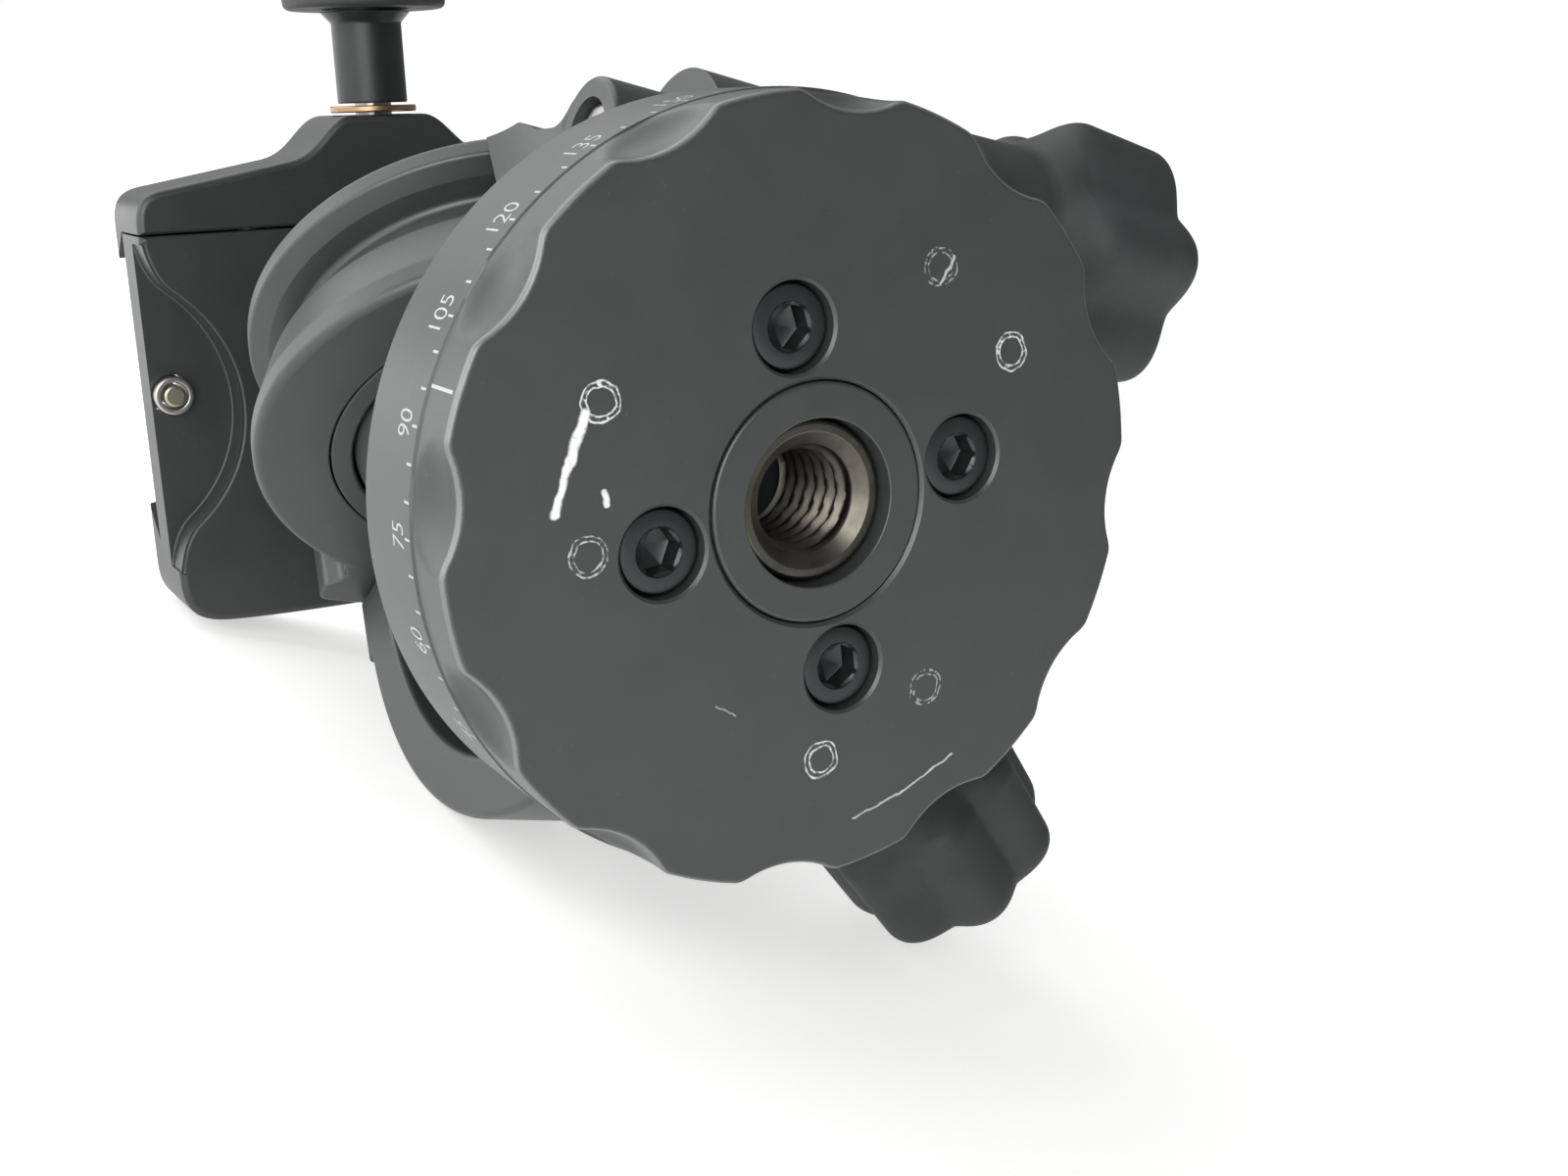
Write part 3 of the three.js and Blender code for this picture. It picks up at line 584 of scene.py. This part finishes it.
# A socket head screw, head down: the socket's radius is (flats / 2) / cos of the angle from the nearest flat.
def makeSocketScrew(name, place, p, body, node):
    a = np.linspace(0, 2 * np.pi, 144, endpoint=False)
    flat = (a + np.pi / 6) % (np.pi / 3) - np.pi / 6
    hexagon = p["acrossFlats"] / 2 / np.cos(flat)
    lead = p["acrossFlats"] / 2 * 1.17
    h, r = p["height"], p["head"]
    rows = [(0, p["socketDepth"] + 0.5), (hexagon * 0.9, p["socketDepth"]), (hexagon, p["socketDepth"] - 0.1),
            (hexagon, 0.28), (np.maximum(hexagon, lead * 0.99), 0.12), (lead * 1.02, 0), (r - 0.4, 0),
            (r - 0.12, 0.1), (r, 0.38), (r, h), (p["shank"], h), (p["shank"], h + p["length"] - 0.4),
            (p["shank"] - 0.4, h + p["length"]), (0, h + p["length"])]
    points = np.stack([np.stack([k * np.cos(a), k * np.sin(a), z + 0 * a], -1) for k, z in rows])
    piece = meshObject(name, points, gridFaces(len(rows), len(a), False, True), place)
    return finished(piece, oxide, body, "black_steel", node)


for number in range(4):
    low, high = boxMm(f"base_screw_{number + 1}")
    middle = (low + high) / 2
    spin = turnedBy((17, 41, 8, 29)[number], "Z")
    place = movedBy(middle[0], middle[1], low[2]) @ spin
    makeSocketScrew(f"socket_screw_{number + 1}", place, socketScrew, "base", f"base_screw_{number + 1}")
ringScrew = {"head": 2.4, "height": 2.8, "acrossFlats": 2.3, "socketDepth": 1.5, "shank": 1.4, "length": 9}
footHole = {"x": 4.2, "v": 30.1, "top": 3}
for number, side in enumerate((-1, 1)):
    place = housingPlace @ movedBy(side * footHole["x"], footHole["v"], footHole["top"]) @ turnedBy(180, "X")
    makeSocketScrew(f"foot_screw_{number + 1}", place, ringScrew, "housing", f"ring_screw_{number + 1}")
print("spindle, bush and screws made")

yoke = {"skirt": 25.6, "skirtLow": 13.2, "shoulder": 28.2, "low": 16.4, "hub": 21, "top": 29, "bore": 12.3,
        "recess": 16.4, "recessFloor": 26.5, "bossR": 6.2, "bossEnd": 36, "half": 7.5}
arm = {"y": 4, "z": 48.5, "outer": 37.4, "inner": 31, "from": -52, "to": 44, "edge": 0.7}


# The yoke: a turned hub, a turned boss for the pan lock, and a C-shaped arm, which is one rounded bar section
# at radius r carried round a circle in the YZ plane: y = Y + r cos a, z = Z + r sin a.
def makeYoke():
    p = yoke
    corners = [(p["bore"], p["skirtLow"], 0.3), (p["skirt"], p["skirtLow"], 0.4), (p["skirt"], p["low"]),
               (p["shoulder"], p["low"], 0.4), (p["shoulder"], p["low"] + 2.2, 0.8), (p["hub"], p["low"] + 4.6, 0.8),
               (p["hub"], p["top"], 0.9), (p["recess"], p["top"], 0.4), (p["recess"], p["recessFloor"]),
               (p["bore"], p["recessFloor"])]
    hub = turned("yoke_hub", corners, count=220)
    finished(hub, anodised, "housing", "anodised", "yoke")
    line = [(3, 14), (p["bossR"], 14), (p["bossR"], p["bossEnd"], 0.6), (3, p["bossEnd"], 0.3)]
    boss = turned("pan_lock_boss", line, panKnobPlace, 96)
    finished(boss, anodised, "housing", "anodised")
    heel = roundedLine([(12, 17), (27.4, 16.4, 2), (31.6, 20.6, 4), (33.4, 24.5, 3), (27.6, 29.6, 1.5), (22, 28, 2),
                        (12, 28)])
    inner = p["half"] - 0.06  # a little narrower than the arm, so that the sides don't coincide
    lump = slab("tool", heel, -inner, inner, arm["edge"], alongX)
    edge = arm["edge"]
    section = roundedLine([(arm["inner"], -p["half"], edge), (arm["outer"], -p["half"], edge),
                           (arm["outer"], p["half"], edge), (arm["inner"], p["half"], edge)], steps=4)
    a = np.radians(np.linspace(arm["from"], arm["to"], 120))[:, None]
    r, x = section[:, 0], section[:, 1]
    points = np.stack([x + 0 * a, arm["y"] + r * np.cos(a), arm["z"] + r * np.sin(a)], -1)
    faces = gridFaces(len(a), len(section), False, True).tolist()
    faces += [list(range(len(section)))[::-1], list(range((len(a) - 1) * len(section), len(a) * len(section)))]
    bar = meshObject("yoke_arm", points, faces)
    outline = roundedLine([(-inner, 25.6, 0.6), (inner, 25.6, 0.6), (inner, 33, 0.6), (-inner, 33, 0.6)])
    combined(bar, "UNION", lump, slab("tool", outline, -13.5, -5.3, 0.4, housingPlace))
    finished(bar, anodised, "housing", "anodised")


makeYoke()
print("yoke made")

housing = {"face": -5, "top": 12.5, "faceR": 28.9, "flange": 28, "mouth": 24.8, "seatOuter": 21, "seatInner": 18.7,
           "ledge": -1.2, "bowl": 19.35}
lugs = {"v": -36.4, "w": 1.85, "near": 5.7, "far": 8.8, "nearX": -9.3, "farX": 14, "slit": (-1.2, 0.4),
        "bolt": 2.7, "head": 3.7, "headDepth": 4.4}
foot = {"half": 12.4, "end": 33.4}


# The split ring: a turned section (radius, height) in the housing's own frame, joined with two lugs and a
# foot, each an outline carried straight across, then slit and bored along the bolt.
def makeHousing():
    p, q = housing, lugs
    face, top = p["face"], p["top"]
    ring = turned("split_ring", [
        (p["seatOuter"] + 0.18, face, 0.15), (p["faceR"], face, 0.9), (p["faceR"], -2.5, 1.5), (26.6, 4.2, 1.5),
        (23.5, 4.8, 0.6), (23.5, 8.6, 0.8), (26, 9.2, 0.5), (p["flange"], 10.2, 0.5), (p["flange"], top, 0.7),
        (p["mouth"], top, 0.5), (18.05, 6.8, 0.4), (19.02, 3.4), (p["bowl"], 0), (p["bowl"], p["ledge"]),
        (p["seatOuter"] + 0.18, p["ledge"]),
    ], housingPlace, 240)
    acrossLugs = housingPlace @ alongX
    nearWeb = roundedLine([(-25, -4.3), (-31.4, -4.1, 3), (-36.4, -3.75, 2.5), (-40, 0, 3), (-40, 4, 3),
                           (-36.4, 7.5, 3), (-32.4, 7.2, 3), (-29.6, 9.6, 3), (-27.9, 12.2, 0.6), (-25, 12.2)])
    farWeb = roundedLine([(-25, -4.8), (-31, -5.9, 3), (-37, -6.8, 4), (-43, -3, 5), (-43, 6, 5), (-37, 10.5, 5),
                          (-31, 11.4, 3), (-27.8, 12.2, 1), (-25, 12.2)])
    near = slab("tool", nearWeb, -17, q["slit"][0] + 0.4, 0.3, acrossLugs)
    flare = bezier((q["nearX"] + 0.1, -34.5), (q["nearX"] - 0.1, -29.4), (-10.4, -26.6), (-14.2, -23.9), 18)
    plan = np.concatenate([[(0.6, -42), (q["nearX"] + 0.1, -42)], flare, [(-14.2, -23), (0.6, -22.5)]])
    combined(near, "INTERSECT", slab("tool", plan, -8, 15, 0.01, housingPlace, 1))
    nearEye = turned("tool", [(0, q["nearX"]), (q["near"], q["nearX"], 0.6), (q["near"], -0.25), (0, -0.25)],
                     housingPlace @ movedBy(0, q["v"], q["w"]) @ turnedBy(90, "Y"), 128)
    far = slab("tool", farWeb, q["slit"][1] - 0.3, q["farX"] - 4, 0.5, acrossLugs)
    farEye = turned("tool", [(0, -0.5), (q["far"], -0.5), (q["far"], q["farX"], 0.7), (0, q["farX"])],
                    housingPlace @ movedBy(0, q["v"], q["w"]) @ turnedBy(90, "Y"), 128)
    h, end = foot["half"], foot["end"]
    side = [(h, end, 1), (h, 30.6, 1.2), (h - 1.9, 28.6, 1.4), (h - 0.6, 26.6, 1.2), (h - 2.5, 24)]
    outline = roundedLine([(-x, *rest) for x, *rest in side[::-1]] + side)
    block = slab("tool", outline, face + 0.03, 3, 0.5, housingPlace)
    combined(ring, "UNION", near, nearEye, far, farEye, block)
    slitLine = [(-50, -14), (-15, -14), (-15, 20), (-50, 20)]
    lugPlace = housingPlace @ movedBy(0, q["v"], q["w"]) @ turnedBy(90, "Y")
    tools = [slab("tool", slitLine, q["slit"][0], q["slit"][1], 0.01, acrossLugs, 1),
             peg(q["bolt"], q["nearX"] - 1, q["farX"] + 1, lugPlace),
             peg(q["head"], q["nearX"] - 2, q["nearX"] + q["headDepth"], lugPlace, 96)]
    for side in (-1, 1):
        tools.append(peg(2.7, -0.4, 8, housingPlace @ movedBy(side * footHole["x"], footHole["v"], 0)))
    combined(ring, "DIFFERENCE", *tools)
    finished(ring, anodised, "housing", "anodised", "clamp_ring")
    seat = turned("seat_insert", [(p["seatInner"], face, 0.3), (p["seatOuter"], face, 0.15), (p["seatOuter"], -1.5),
                                  (19.35, -1.5)], housingPlace, 200)
    finished(seat, anodised, "housing", "anodised", "seat_ring")


makeHousing()
print("housing made")

tension = {"head": 3.4, "headX": -8.4, "bolt": 2.4, "end": 42}


# Turned pieces on the two knobs' axes; corners are (radius, distance along the axis, rounding).
def makeTensionParts():
    p = tension
    bolt = turned("tension_screw", [
        (0, p["headX"] + 1.6), (1.5, p["headX"] + 1.1), (1.5, p["headX"], 0.2), (p["head"], p["headX"], 0.5),
        (p["head"], p["headX"] + 3.2), (p["bolt"], p["headX"] + 3.2), (p["bolt"], p["end"], 0.4), (0, p["end"]),
    ], boltPlace, 96, False)
    finished(bolt, steel, "housing", "steel", "tension_bolt")
    line = [(2.7, 14.3, 0.2), (7.6, 14.3, 0.3), (7.6, 16, 0.3), (2.7, 16, 0.2)]
    washer = turned("thrust_ring", line, boltPlace, 128)
    finished(washer, steel, "tension_washer", "steel", "thrust_washer")
    sleeve = turned("main_knob_shaft", [
        (0, 44), (2.7, 44), (2.7, 16.35, 0.2), (7, 16.35, 0.4), (7, 18.3, 0.6), (5.2, 19.8, 0.8), (5.2, 51.1, 0.3),
        (0, 51.1)], boltPlace, 96, False)
    finished(sleeve, anodised, "tension_knob", "anodised", "main_knob_sleeve")
    ring = turned("knob_washer", [(2.5, 31.5, 0.15), (5.2, 31.5, 0.2), (5.2, 32.3, 0.2), (2.5, 32.3, 0.15)],
                  clampKnobPlace, 96)
    finished(ring, brass, "jaw", "brass", "brass_washer")
    shaft = turned("clamp_knob_shaft", [(2.5, 32.6, 0.1), (4.2, 32.6, 0.2), (4.2, 42, 0.5), (5.4, 43.3, 0.1),
                                        (4.2, 43.4), (4.2, 56.6, 0.2), (2.5, 56.6)], clampKnobPlace, 96)
    finished(shaft, anodisedDeepShade, "clamp_knob", "anodised", "clamp_knob_sleeve")


makeTensionParts()

# Knobs: along the axis the envelope radius follows the profile, and round it the radius is drawn in
# by depth * (1 - (1/2 + 1/2 cos(lobes * (a - phase)))^power), fading out on the collar.
knobs = {
    "main": {"r": 15.1, "endR": 14.2, "collarR": 10.2, "z": (31.5, 44, 59.4), "bore": 5.25, "depth": 2.9,
             "lobes": 6, "phase": -8, "round": 3.6, "flare": 3.4, "bend": 2.4, "power": 0.85, "skin": 7.9},
    "pan": {"r": 12.5, "endR": 11.9, "collarR": 8.5, "z": (40, 44.6, 59.2), "bore": 2.4, "depth": 2.0, "lobes": 7,
            "phase": -34, "round": 3.4, "flare": 2.2, "bend": 1.2, "power": 0.72, "skin": 6},
    "clamp": {"r": 11.5, "endR": 11.1, "collarR": 9.6, "z": (43.6, 48, 60.88), "bore": 4.3, "depth": 1.9,
              "lobes": 7, "phase": 0, "round": 2.8, "flare": 2.2, "bend": 1.2, "power": 0.72, "skin": 7.9},
}


# z is (collar's start, lobes' start, end); flare and bend shape the shoulder between them, and skin is how far
# the bore stops short of the end.
def makeKnob(name, p, place, body, node):
    start, lobeZ, end = p["z"]
    line = roundedLine([(p["bore"], start), (p["collarR"], start, 0.7),
                        (p["collarR"] + 0.3, lobeZ - p["flare"], p["bend"]), (p["r"], lobeZ + 0.6, p["bend"] + 1.2),
                        (p["endR"], end, p["round"]), (0.0, end)], False, 10)
    fine = [line[:1]]
    for here, there in zip(line[:-1], line[1:]):
        pieces = max(1, int(np.linalg.norm(there - here) / 0.8))
        fine.append(here + (there - here) * np.linspace(0, 1, pieces + 1)[1:, None])
    line = np.concatenate(fine)
    a = np.linspace(0, 2 * np.pi, 336, endpoint=False)
    lobe = (0.5 + 0.5 * np.cos(p["lobes"] * (a - math.radians(p["phase"])))) ** p["power"]
    r, z = line[:, :1], line[:, 1:]
    rise = np.clip((z - (lobeZ - p["flare"] - 0.4)) / (p["flare"] + 1.2), 0, 1)
    rise = rise * rise * (3 - 2 * rise)
    share = np.clip(r / p["r"], 0, 1) ** 1.5
    radius = r - p["depth"] * (1 - lobe) * rise * share
    sink = 0.35 * np.clip(1 - r / 6.5, 0, 1) ** 2 * (z > end - 0.05)
    points = np.stack([radius * np.cos(a), radius * np.sin(a), z - sink + 0 * a], -1)
    inner = np.array([[0.0], [p["bore"]]])
    plug = np.stack([inner * np.cos(a), inner * np.sin(a), 0 * inner + end - p["skin"] + 0 * a], -1)
    points = np.concatenate([plug, points])
    knob = meshObject(name, points, gridFaces(len(points), len(a), False, True), place)
    return finished(knob, rubber, body, "rubber", node)


makeKnob("main_knob", knobs["main"], boltPlace, "tension_knob", "main_knob_grip")
makeKnob("pan_knob", knobs["pan"], panKnobPlace, "pan_knob", "pan_knob_grip")
makeKnob("clamp_knob", knobs["clamp"], clampKnobPlace, "clamp_knob", "clamp_knob_grip")
print("knobs made")

ball = {"r": 19, "stem": 6.5, "neck": 7.5, "head": 9.5, "bore": 2.7, "boreDepth": 16}


# The ball, r = R sin a and z = R cos a from its bottom up to the stem, then the stem's turned profile.
def makeBall():
    p = ball
    top = boxMm("ball_stem")[1][2] - ballCentre[2]
    a = np.linspace(np.pi, math.asin(p["stem"] / p["r"]), 60)
    line = np.stack([p["r"] * np.sin(a), p["r"] * np.cos(a)], -1)
    line[0, 0] = 0
    neck = roundedLine([tuple(line[-1]), (p["stem"], line[-1][1] + 0.6), (p["stem"], top - 5, 1.5),
                        (p["neck"], top - 3, 1.2), (p["head"], top - 2, 0.4), (p["head"], top, 0.3),
                        (p["bore"], top, 0.2), (p["bore"], top - p["boreDepth"]), (0, top - p["boreDepth"])], False)
    corners = [tuple(c) for c in np.concatenate([line, neck[1:]])]
    piece = turned("ball_and_stem", corners, movedBy(*ballCentre), 160, False)
    return finished(piece, anodised, "ball", "anodised", "ball_stem")


makeBall()

clamp = {"half": 30.88, "low": 95.8, "deck": 105, "top": 109.3, "fixed": 29.2, "split": -18.4, "edge": 0.8,
         "dovetail": 19.3, "lip": 15.2, "pocketR": 17.6, "pocketAt": (38.9, 2), "pocketDepth": 4.4, "bevel": 0.3,
         "guideX": 17, "guideZ": 100.6, "guideR": 1.65, "knobBore": 2.5, "detent": (-28.4, 0.6), "detentR": 2.35}
jaw = {"v": -18.65, "outer": -26.2, "boss": -31.2, "bossHalf": 4.4, "pinEnd": -24.75}


# The pocket at one end, seen along z: an arc whose two ends sweep outward to meet the end face. It is cut
# twice: at its full depth, and a little wider but shallow, which leaves a worn-looking double edge.
def pocketTools(side):
    p = clamp
    cu, cv, r = -p["pocketAt"][0], p["pocketAt"][1], p["pocketR"]
    tools = []
    for wider, depth in ((0, p["pocketDepth"]), (0.45, 0.35)):
        radius = r + wider
        a = np.radians(np.linspace(-50, 50, 60))
        arc = np.stack([cu + radius * np.cos(a), radius * np.sin(a)], -1)
        tip = arc[-1]
        end = 0.2 + wider - p["half"]
        sweep = bezier(tip, tip + (-1.7, 1.4), (end + 0.6, tip[1] + 2.9), (end, tip[1] + 6), 14)[1:]
        beyond = np.array([(-36, sweep[-1, 1])])
        outline = np.concatenate([beyond * (1, -1), (sweep * (1, -1))[::-1], arc, sweep, beyond])
        place = clampPlace @ movedBy(0, cv, 0) @ turnedBy(0 if side < 0 else 180, "Z")
        tools.append(slab("tool", outline, p["low"] - 2, p["low"] + depth, 0.25, place, 3))
    return tools


# The fixed side: a plan with bowed edges carried up through its thickness, less the dovetail channel (an
# outline run along x), the pockets and the bores.
def makeClamp():
    p = clamp
    u, low, top, deck = p["half"], p["low"], p["top"], p["deck"]
    fixed, split = p["fixed"], p["split"]
    bow = bezier((u - 5, fixed - 0.8), (u - 14, fixed + 0.2), (-u + 14, fixed + 0.2), (-u + 5, fixed - 0.8), 40)
    right = bezier((u, fixed - 6.5), (u, fixed - 2.6), (u - 1.6, fixed - 1.2), (u - 5, fixed - 0.8), 12)
    plan = np.concatenate([[(-u, split - 3), (u, split - 3)], right, bow[1:], right[:-1][::-1] * (-1, 1)])
    body = slab("clamp_fixed_side", plan, low, top, p["edge"], clampPlace, 4)
    # the dovetail channel and everything beyond the parting line, as outlines (v, z) run along x
    alongClamp = clampPlace @ alongX
    bevel = p["bevel"]
    channel = [(-40, deck), (p["dovetail"], deck), (p["lip"], top - 0.4), (p["lip"], top + 3), (-40, top + 3)]
    beyond = [(-40, low - 3), (split + bevel, low - 3), (split + bevel, low), (split, low + bevel),
              (split, deck + 1), (-40, deck + 1)]
    tools = [slab("tool", line, -u - 2, u + 2, 0.001, alongClamp, 1) for line in (channel, beyond)]
    for side in (-1, 1):
        tools += pocketTools(side)
        place = clampPlace @ movedBy(side * p["guideX"], 0, p["guideZ"]) @ turnedBy(-90, "X")
        tools.append(peg(p["guideR"], split - 2, -7, place))
        tools.append(peg(2.8, split - 2, split + 6.6, place))
    screwPlace = clampPlace @ movedBy(0, 0, clampKnobAxis[2]) @ turnedBy(-90, "X")
    tools.append(peg(p["knobBore"], split - 2, -6.7, screwPlace))
    tools.append(peg(5, deck - 5.4, deck + 2, clampPlace, 96))
    tools.append(peg(2.7, low - 1, deck, clampPlace, 64))
    tools.append(peg(p["detentR"] + 0.1, low, deck + 2, clampPlace @ movedBy(*p["detent"], 0), 64))
    combined(body, "DIFFERENCE", *tools)
    finished(body, anodisedClampShade, "clamp", "anodised", "clamp_body")


# The moving jaw: its plan tapers to the boss of the clamp screw, and the channel's other lip is cut from it.
def makeJaw():
    p, q = clamp, jaw
    u, low, top, deck = p["half"], p["low"], p["top"], p["deck"]
    v, boss, half = q["outer"], q["boss"], q["bossHalf"]
    side = bezier((12.5, v), (8.5, v - 0.8), (7.5, boss), (half, boss), 16)
    corner = bezier((u, v + 7), (u, v + 3.4), (u - 1.4, v + 2.8), (u - 4.5, v + 2.4), 12)
    run = np.linspace((u - 4.5, v + 2.4), (12.5, v), 12)
    rightSide = np.concatenate([corner, run[1:], side[1:]])
    plan = np.concatenate([[(u, -p["lip"])], rightSide, rightSide[::-1] * (-1, 1), [(-u, -p["lip"])]])
    body = slab("clamp_moving_jaw", plan, low + 0.1, top, p["edge"], clampPlace, 4)
    bevel, near = p["bevel"], q["v"]
    inside = [(near - bevel, low - 3), (20, low - 3), (20, top + 3), (-p["lip"] + 0.01, top + 3),
              (-p["lip"] + 0.01, top - 0.4), (near, deck + 0.3), (near, low + 0.1 + bevel),
              (near - bevel, low + 0.1)]
    tools = [slab("tool", inside, -u - 2, u + 2, 0.001, clampPlace @ alongX, 1)]
    for side in (-1, 1):
        place = clampPlace @ movedBy(side * p["guideX"], 0, p["guideZ"]) @ turnedBy(-90, "X")
        tools.append(peg(p["guideR"], q["pinEnd"], q["v"] + 2, place))
    tools.append(peg(p["knobBore"], boss - 2, q["v"] + 2,
                     clampPlace @ movedBy(0, 0, clampKnobAxis[2]) @ turnedBy(-90, "X")))
    combined(body, "DIFFERENCE", *tools)
    finished(body, anodisedClampShade, "jaw", "anodised", "moving_jaw")


makeClamp()
makeJaw()
pin = {"r": 1.3, "bush": (1.6, 2.3), "from": 98.4, "to": 106.6, "bushFrom": 98.8, "bushTo": 104.6}


def makeDetent():
    p, (inner, outer) = pin, pin["bush"]
    place = clampPlace @ movedBy(*clamp["detent"], 0)
    line = [(inner, p["bushFrom"], 0.2), (outer, p["bushFrom"], 0.25), (outer, p["bushTo"], 0.2),
            (inner, p["bushTo"], 0.2)]
    finished(turned("detent_bush", line, place, 72), steel, "clamp", "steel", "detent_sleeve")
    line = [(0, p["from"]), (p["r"], p["from"], 0.3), (p["r"], p["to"], 0.6), (0, p["to"])]
    finished(turned("detent_plunger", line, place, 72, False), paleBrass, "detent", "brass", "detent_pin")


makeDetent()
print("clamp made")

# The CAD nodes that stay as they are get their finish.
kept = {"steel": steel, "black_steel": oxide, "brass": brass, "polymer": polymer, "anodised": anodised,
        "rubber": rubber}
slotOf = {part["node"]: part["material_slot"] for part in frame["record"]["subparts"]}
for node, obj in frame["nodes"].items():
    for holder in obj.material_slots:
        holder.material = kept[slotOf[node]]

# The table that the head lies on, the light and the camera.
table = {"normal": (-0.086, 0.991, 0.103), "offset": 47.0, "size": 2500, "centre": (300, 0, 300)}


def makeTable():
    down = Vector(table["normal"]).normalized()
    middle = Vector(table["centre"])
    middle += down * (table["offset"] - middle.dot(down))
    side = down.cross(Vector((0, 0, 1))).normalized()
    ahead = side.cross(down)
    half = table["size"]
    corners = [middle + side * i * half + ahead * j * half for i, j in ((-1, -1), (1, -1), (1, 1), (-1, 1))]
    mesh = bpy.data.meshes.new("table")
    mesh.from_pydata([tuple(c * mm) for c in corners], [], [(0, 1, 2, 3)])
    if mesh.polygons[0].normal.dot(down) > 0:
        mesh.flip_normals()
    obj = bpy.data.objects.new("table", mesh)
    bpy.context.scene.collection.objects.link(obj)
    s = Shader("tableTop", (0.86, 0.86, 0.85), 0.6, 0.0)
    s.set("Base Color", s.mix(s.noise(3, 3), (0.84, 0.84, 0.83), (0.88, 0.88, 0.87)))
    # Painted light: the table glows grey near the head, which lifts its shadows, and full white further out.
    away = ((s.x - 30) ** 2 + (s.y - 40) ** 2 + (s.z - 20) ** 2) ** 0.5
    s.set("Emission Color", s.mix(away.smooth(110, 420), (0.52, 0.52, 0.515), (1, 1, 1)))
    s.set("Emission Strength", 1.0)  # painted light: the table glows, so it fades into the white backdrop
    behind = s.node("ShaderNodeNewGeometry", {})[6]  # clear from below
    clear = s.node("ShaderNodeBsdfTransparent", {})[0]
    choose = s.node("ShaderNodeMixShader", {}, behind, Wire(s, s.surface.outputs[0]), clear)[0]
    s.feed(s.tree.nodes["Material Output"].inputs[0], choose)
    mesh.materials.append(s.material)


camera = {"at": (-80.92, -11.57, -118.4), "right": (0.8298, -0.1943, -0.5231), "down": (0.0917, 0.9722, -0.2156),
          "ahead": (0.5505, 0.1309, 0.8245), "lens": 40.5}
up, left, back = (-np.array(camera[k]) for k in ("down", "right", "ahead"))
lamps = [  # each stands off the ball by so much up, left and towards the camera
    {"up": 560, "left": 330, "back": -60, "power": 4.6, "size": 900},
    {"up": 40, "left": 560, "back": 200, "power": 3.2, "size": 600},
    {"up": 60, "left": 60, "back": 560, "power": 2.8, "size": 420},
]
room = {"seen": 1.02, "ahead": 0.3, "behind": 0.16}  # brightness of the backdrop, and of the room to each side


def makeLight():
    aim = ballCentre * 0.5
    for number, lamp in enumerate(lamps):
        light = bpy.data.lights.new(f"softbox_{number + 1}", "AREA")
        light.energy = lamp["power"]
        light.size = lamp["size"] * mm
        obj = bpy.data.objects.new(light.name, light)
        offset = up * lamp["up"] + left * lamp["left"] + back * lamp["back"]
        obj.location = Vector(aim + offset) * mm
        obj.rotation_mode = "QUATERNION"
        obj.rotation_quaternion = Vector(-offset).to_track_quat("-Z", "Y")
        bpy.context.scene.collection.objects.link(obj)
    world = bpy.data.worlds.new("studio")
    bpy.context.scene.world = world
    world.use_nodes = True
    s = Nodes(world.node_tree)
    direction = s.node("ShaderNodeTexCoord", {})[0]
    along = s.node("ShaderNodeVectorMath", {"operation": "DOT_PRODUCT"}, direction, camera["ahead"])[0]
    fade = along.smooth(-0.55, 0.25, room["behind"], room["ahead"])
    seen = s.node("ShaderNodeLightPath", {})[0]
    backdrop = s.tree.nodes["Background"]
    s.feed(backdrop.inputs["Color"], (0.98, 0.99, 1.0, 1))
    s.feed(backdrop.inputs["Strength"], s.node("ShaderNodeMix", {}, seen, fade, room["seen"])[0])


def makeCamera():
    right, down, ahead = (Vector(camera[k]).normalized() for k in ("right", "down", "ahead"))
    data = bpy.data.cameras.new("camera")
    data.lens = camera["lens"]
    data.sensor_width = 36
    data.clip_start = 0.005
    obj = bpy.data.objects.new("camera", data)
    turn = Matrix((right, -down, -ahead)).transposed()
    obj.matrix_world = Matrix.Translation(Vector(camera["at"]) * mm) @ turn.to_4x4()
    bpy.context.scene.collection.objects.link(obj)
    bpy.context.scene.camera = obj


makeTable()
makeLight()
makeCamera()
bpy.context.scene.view_settings.view_transform = "Standard"
print("stage made")
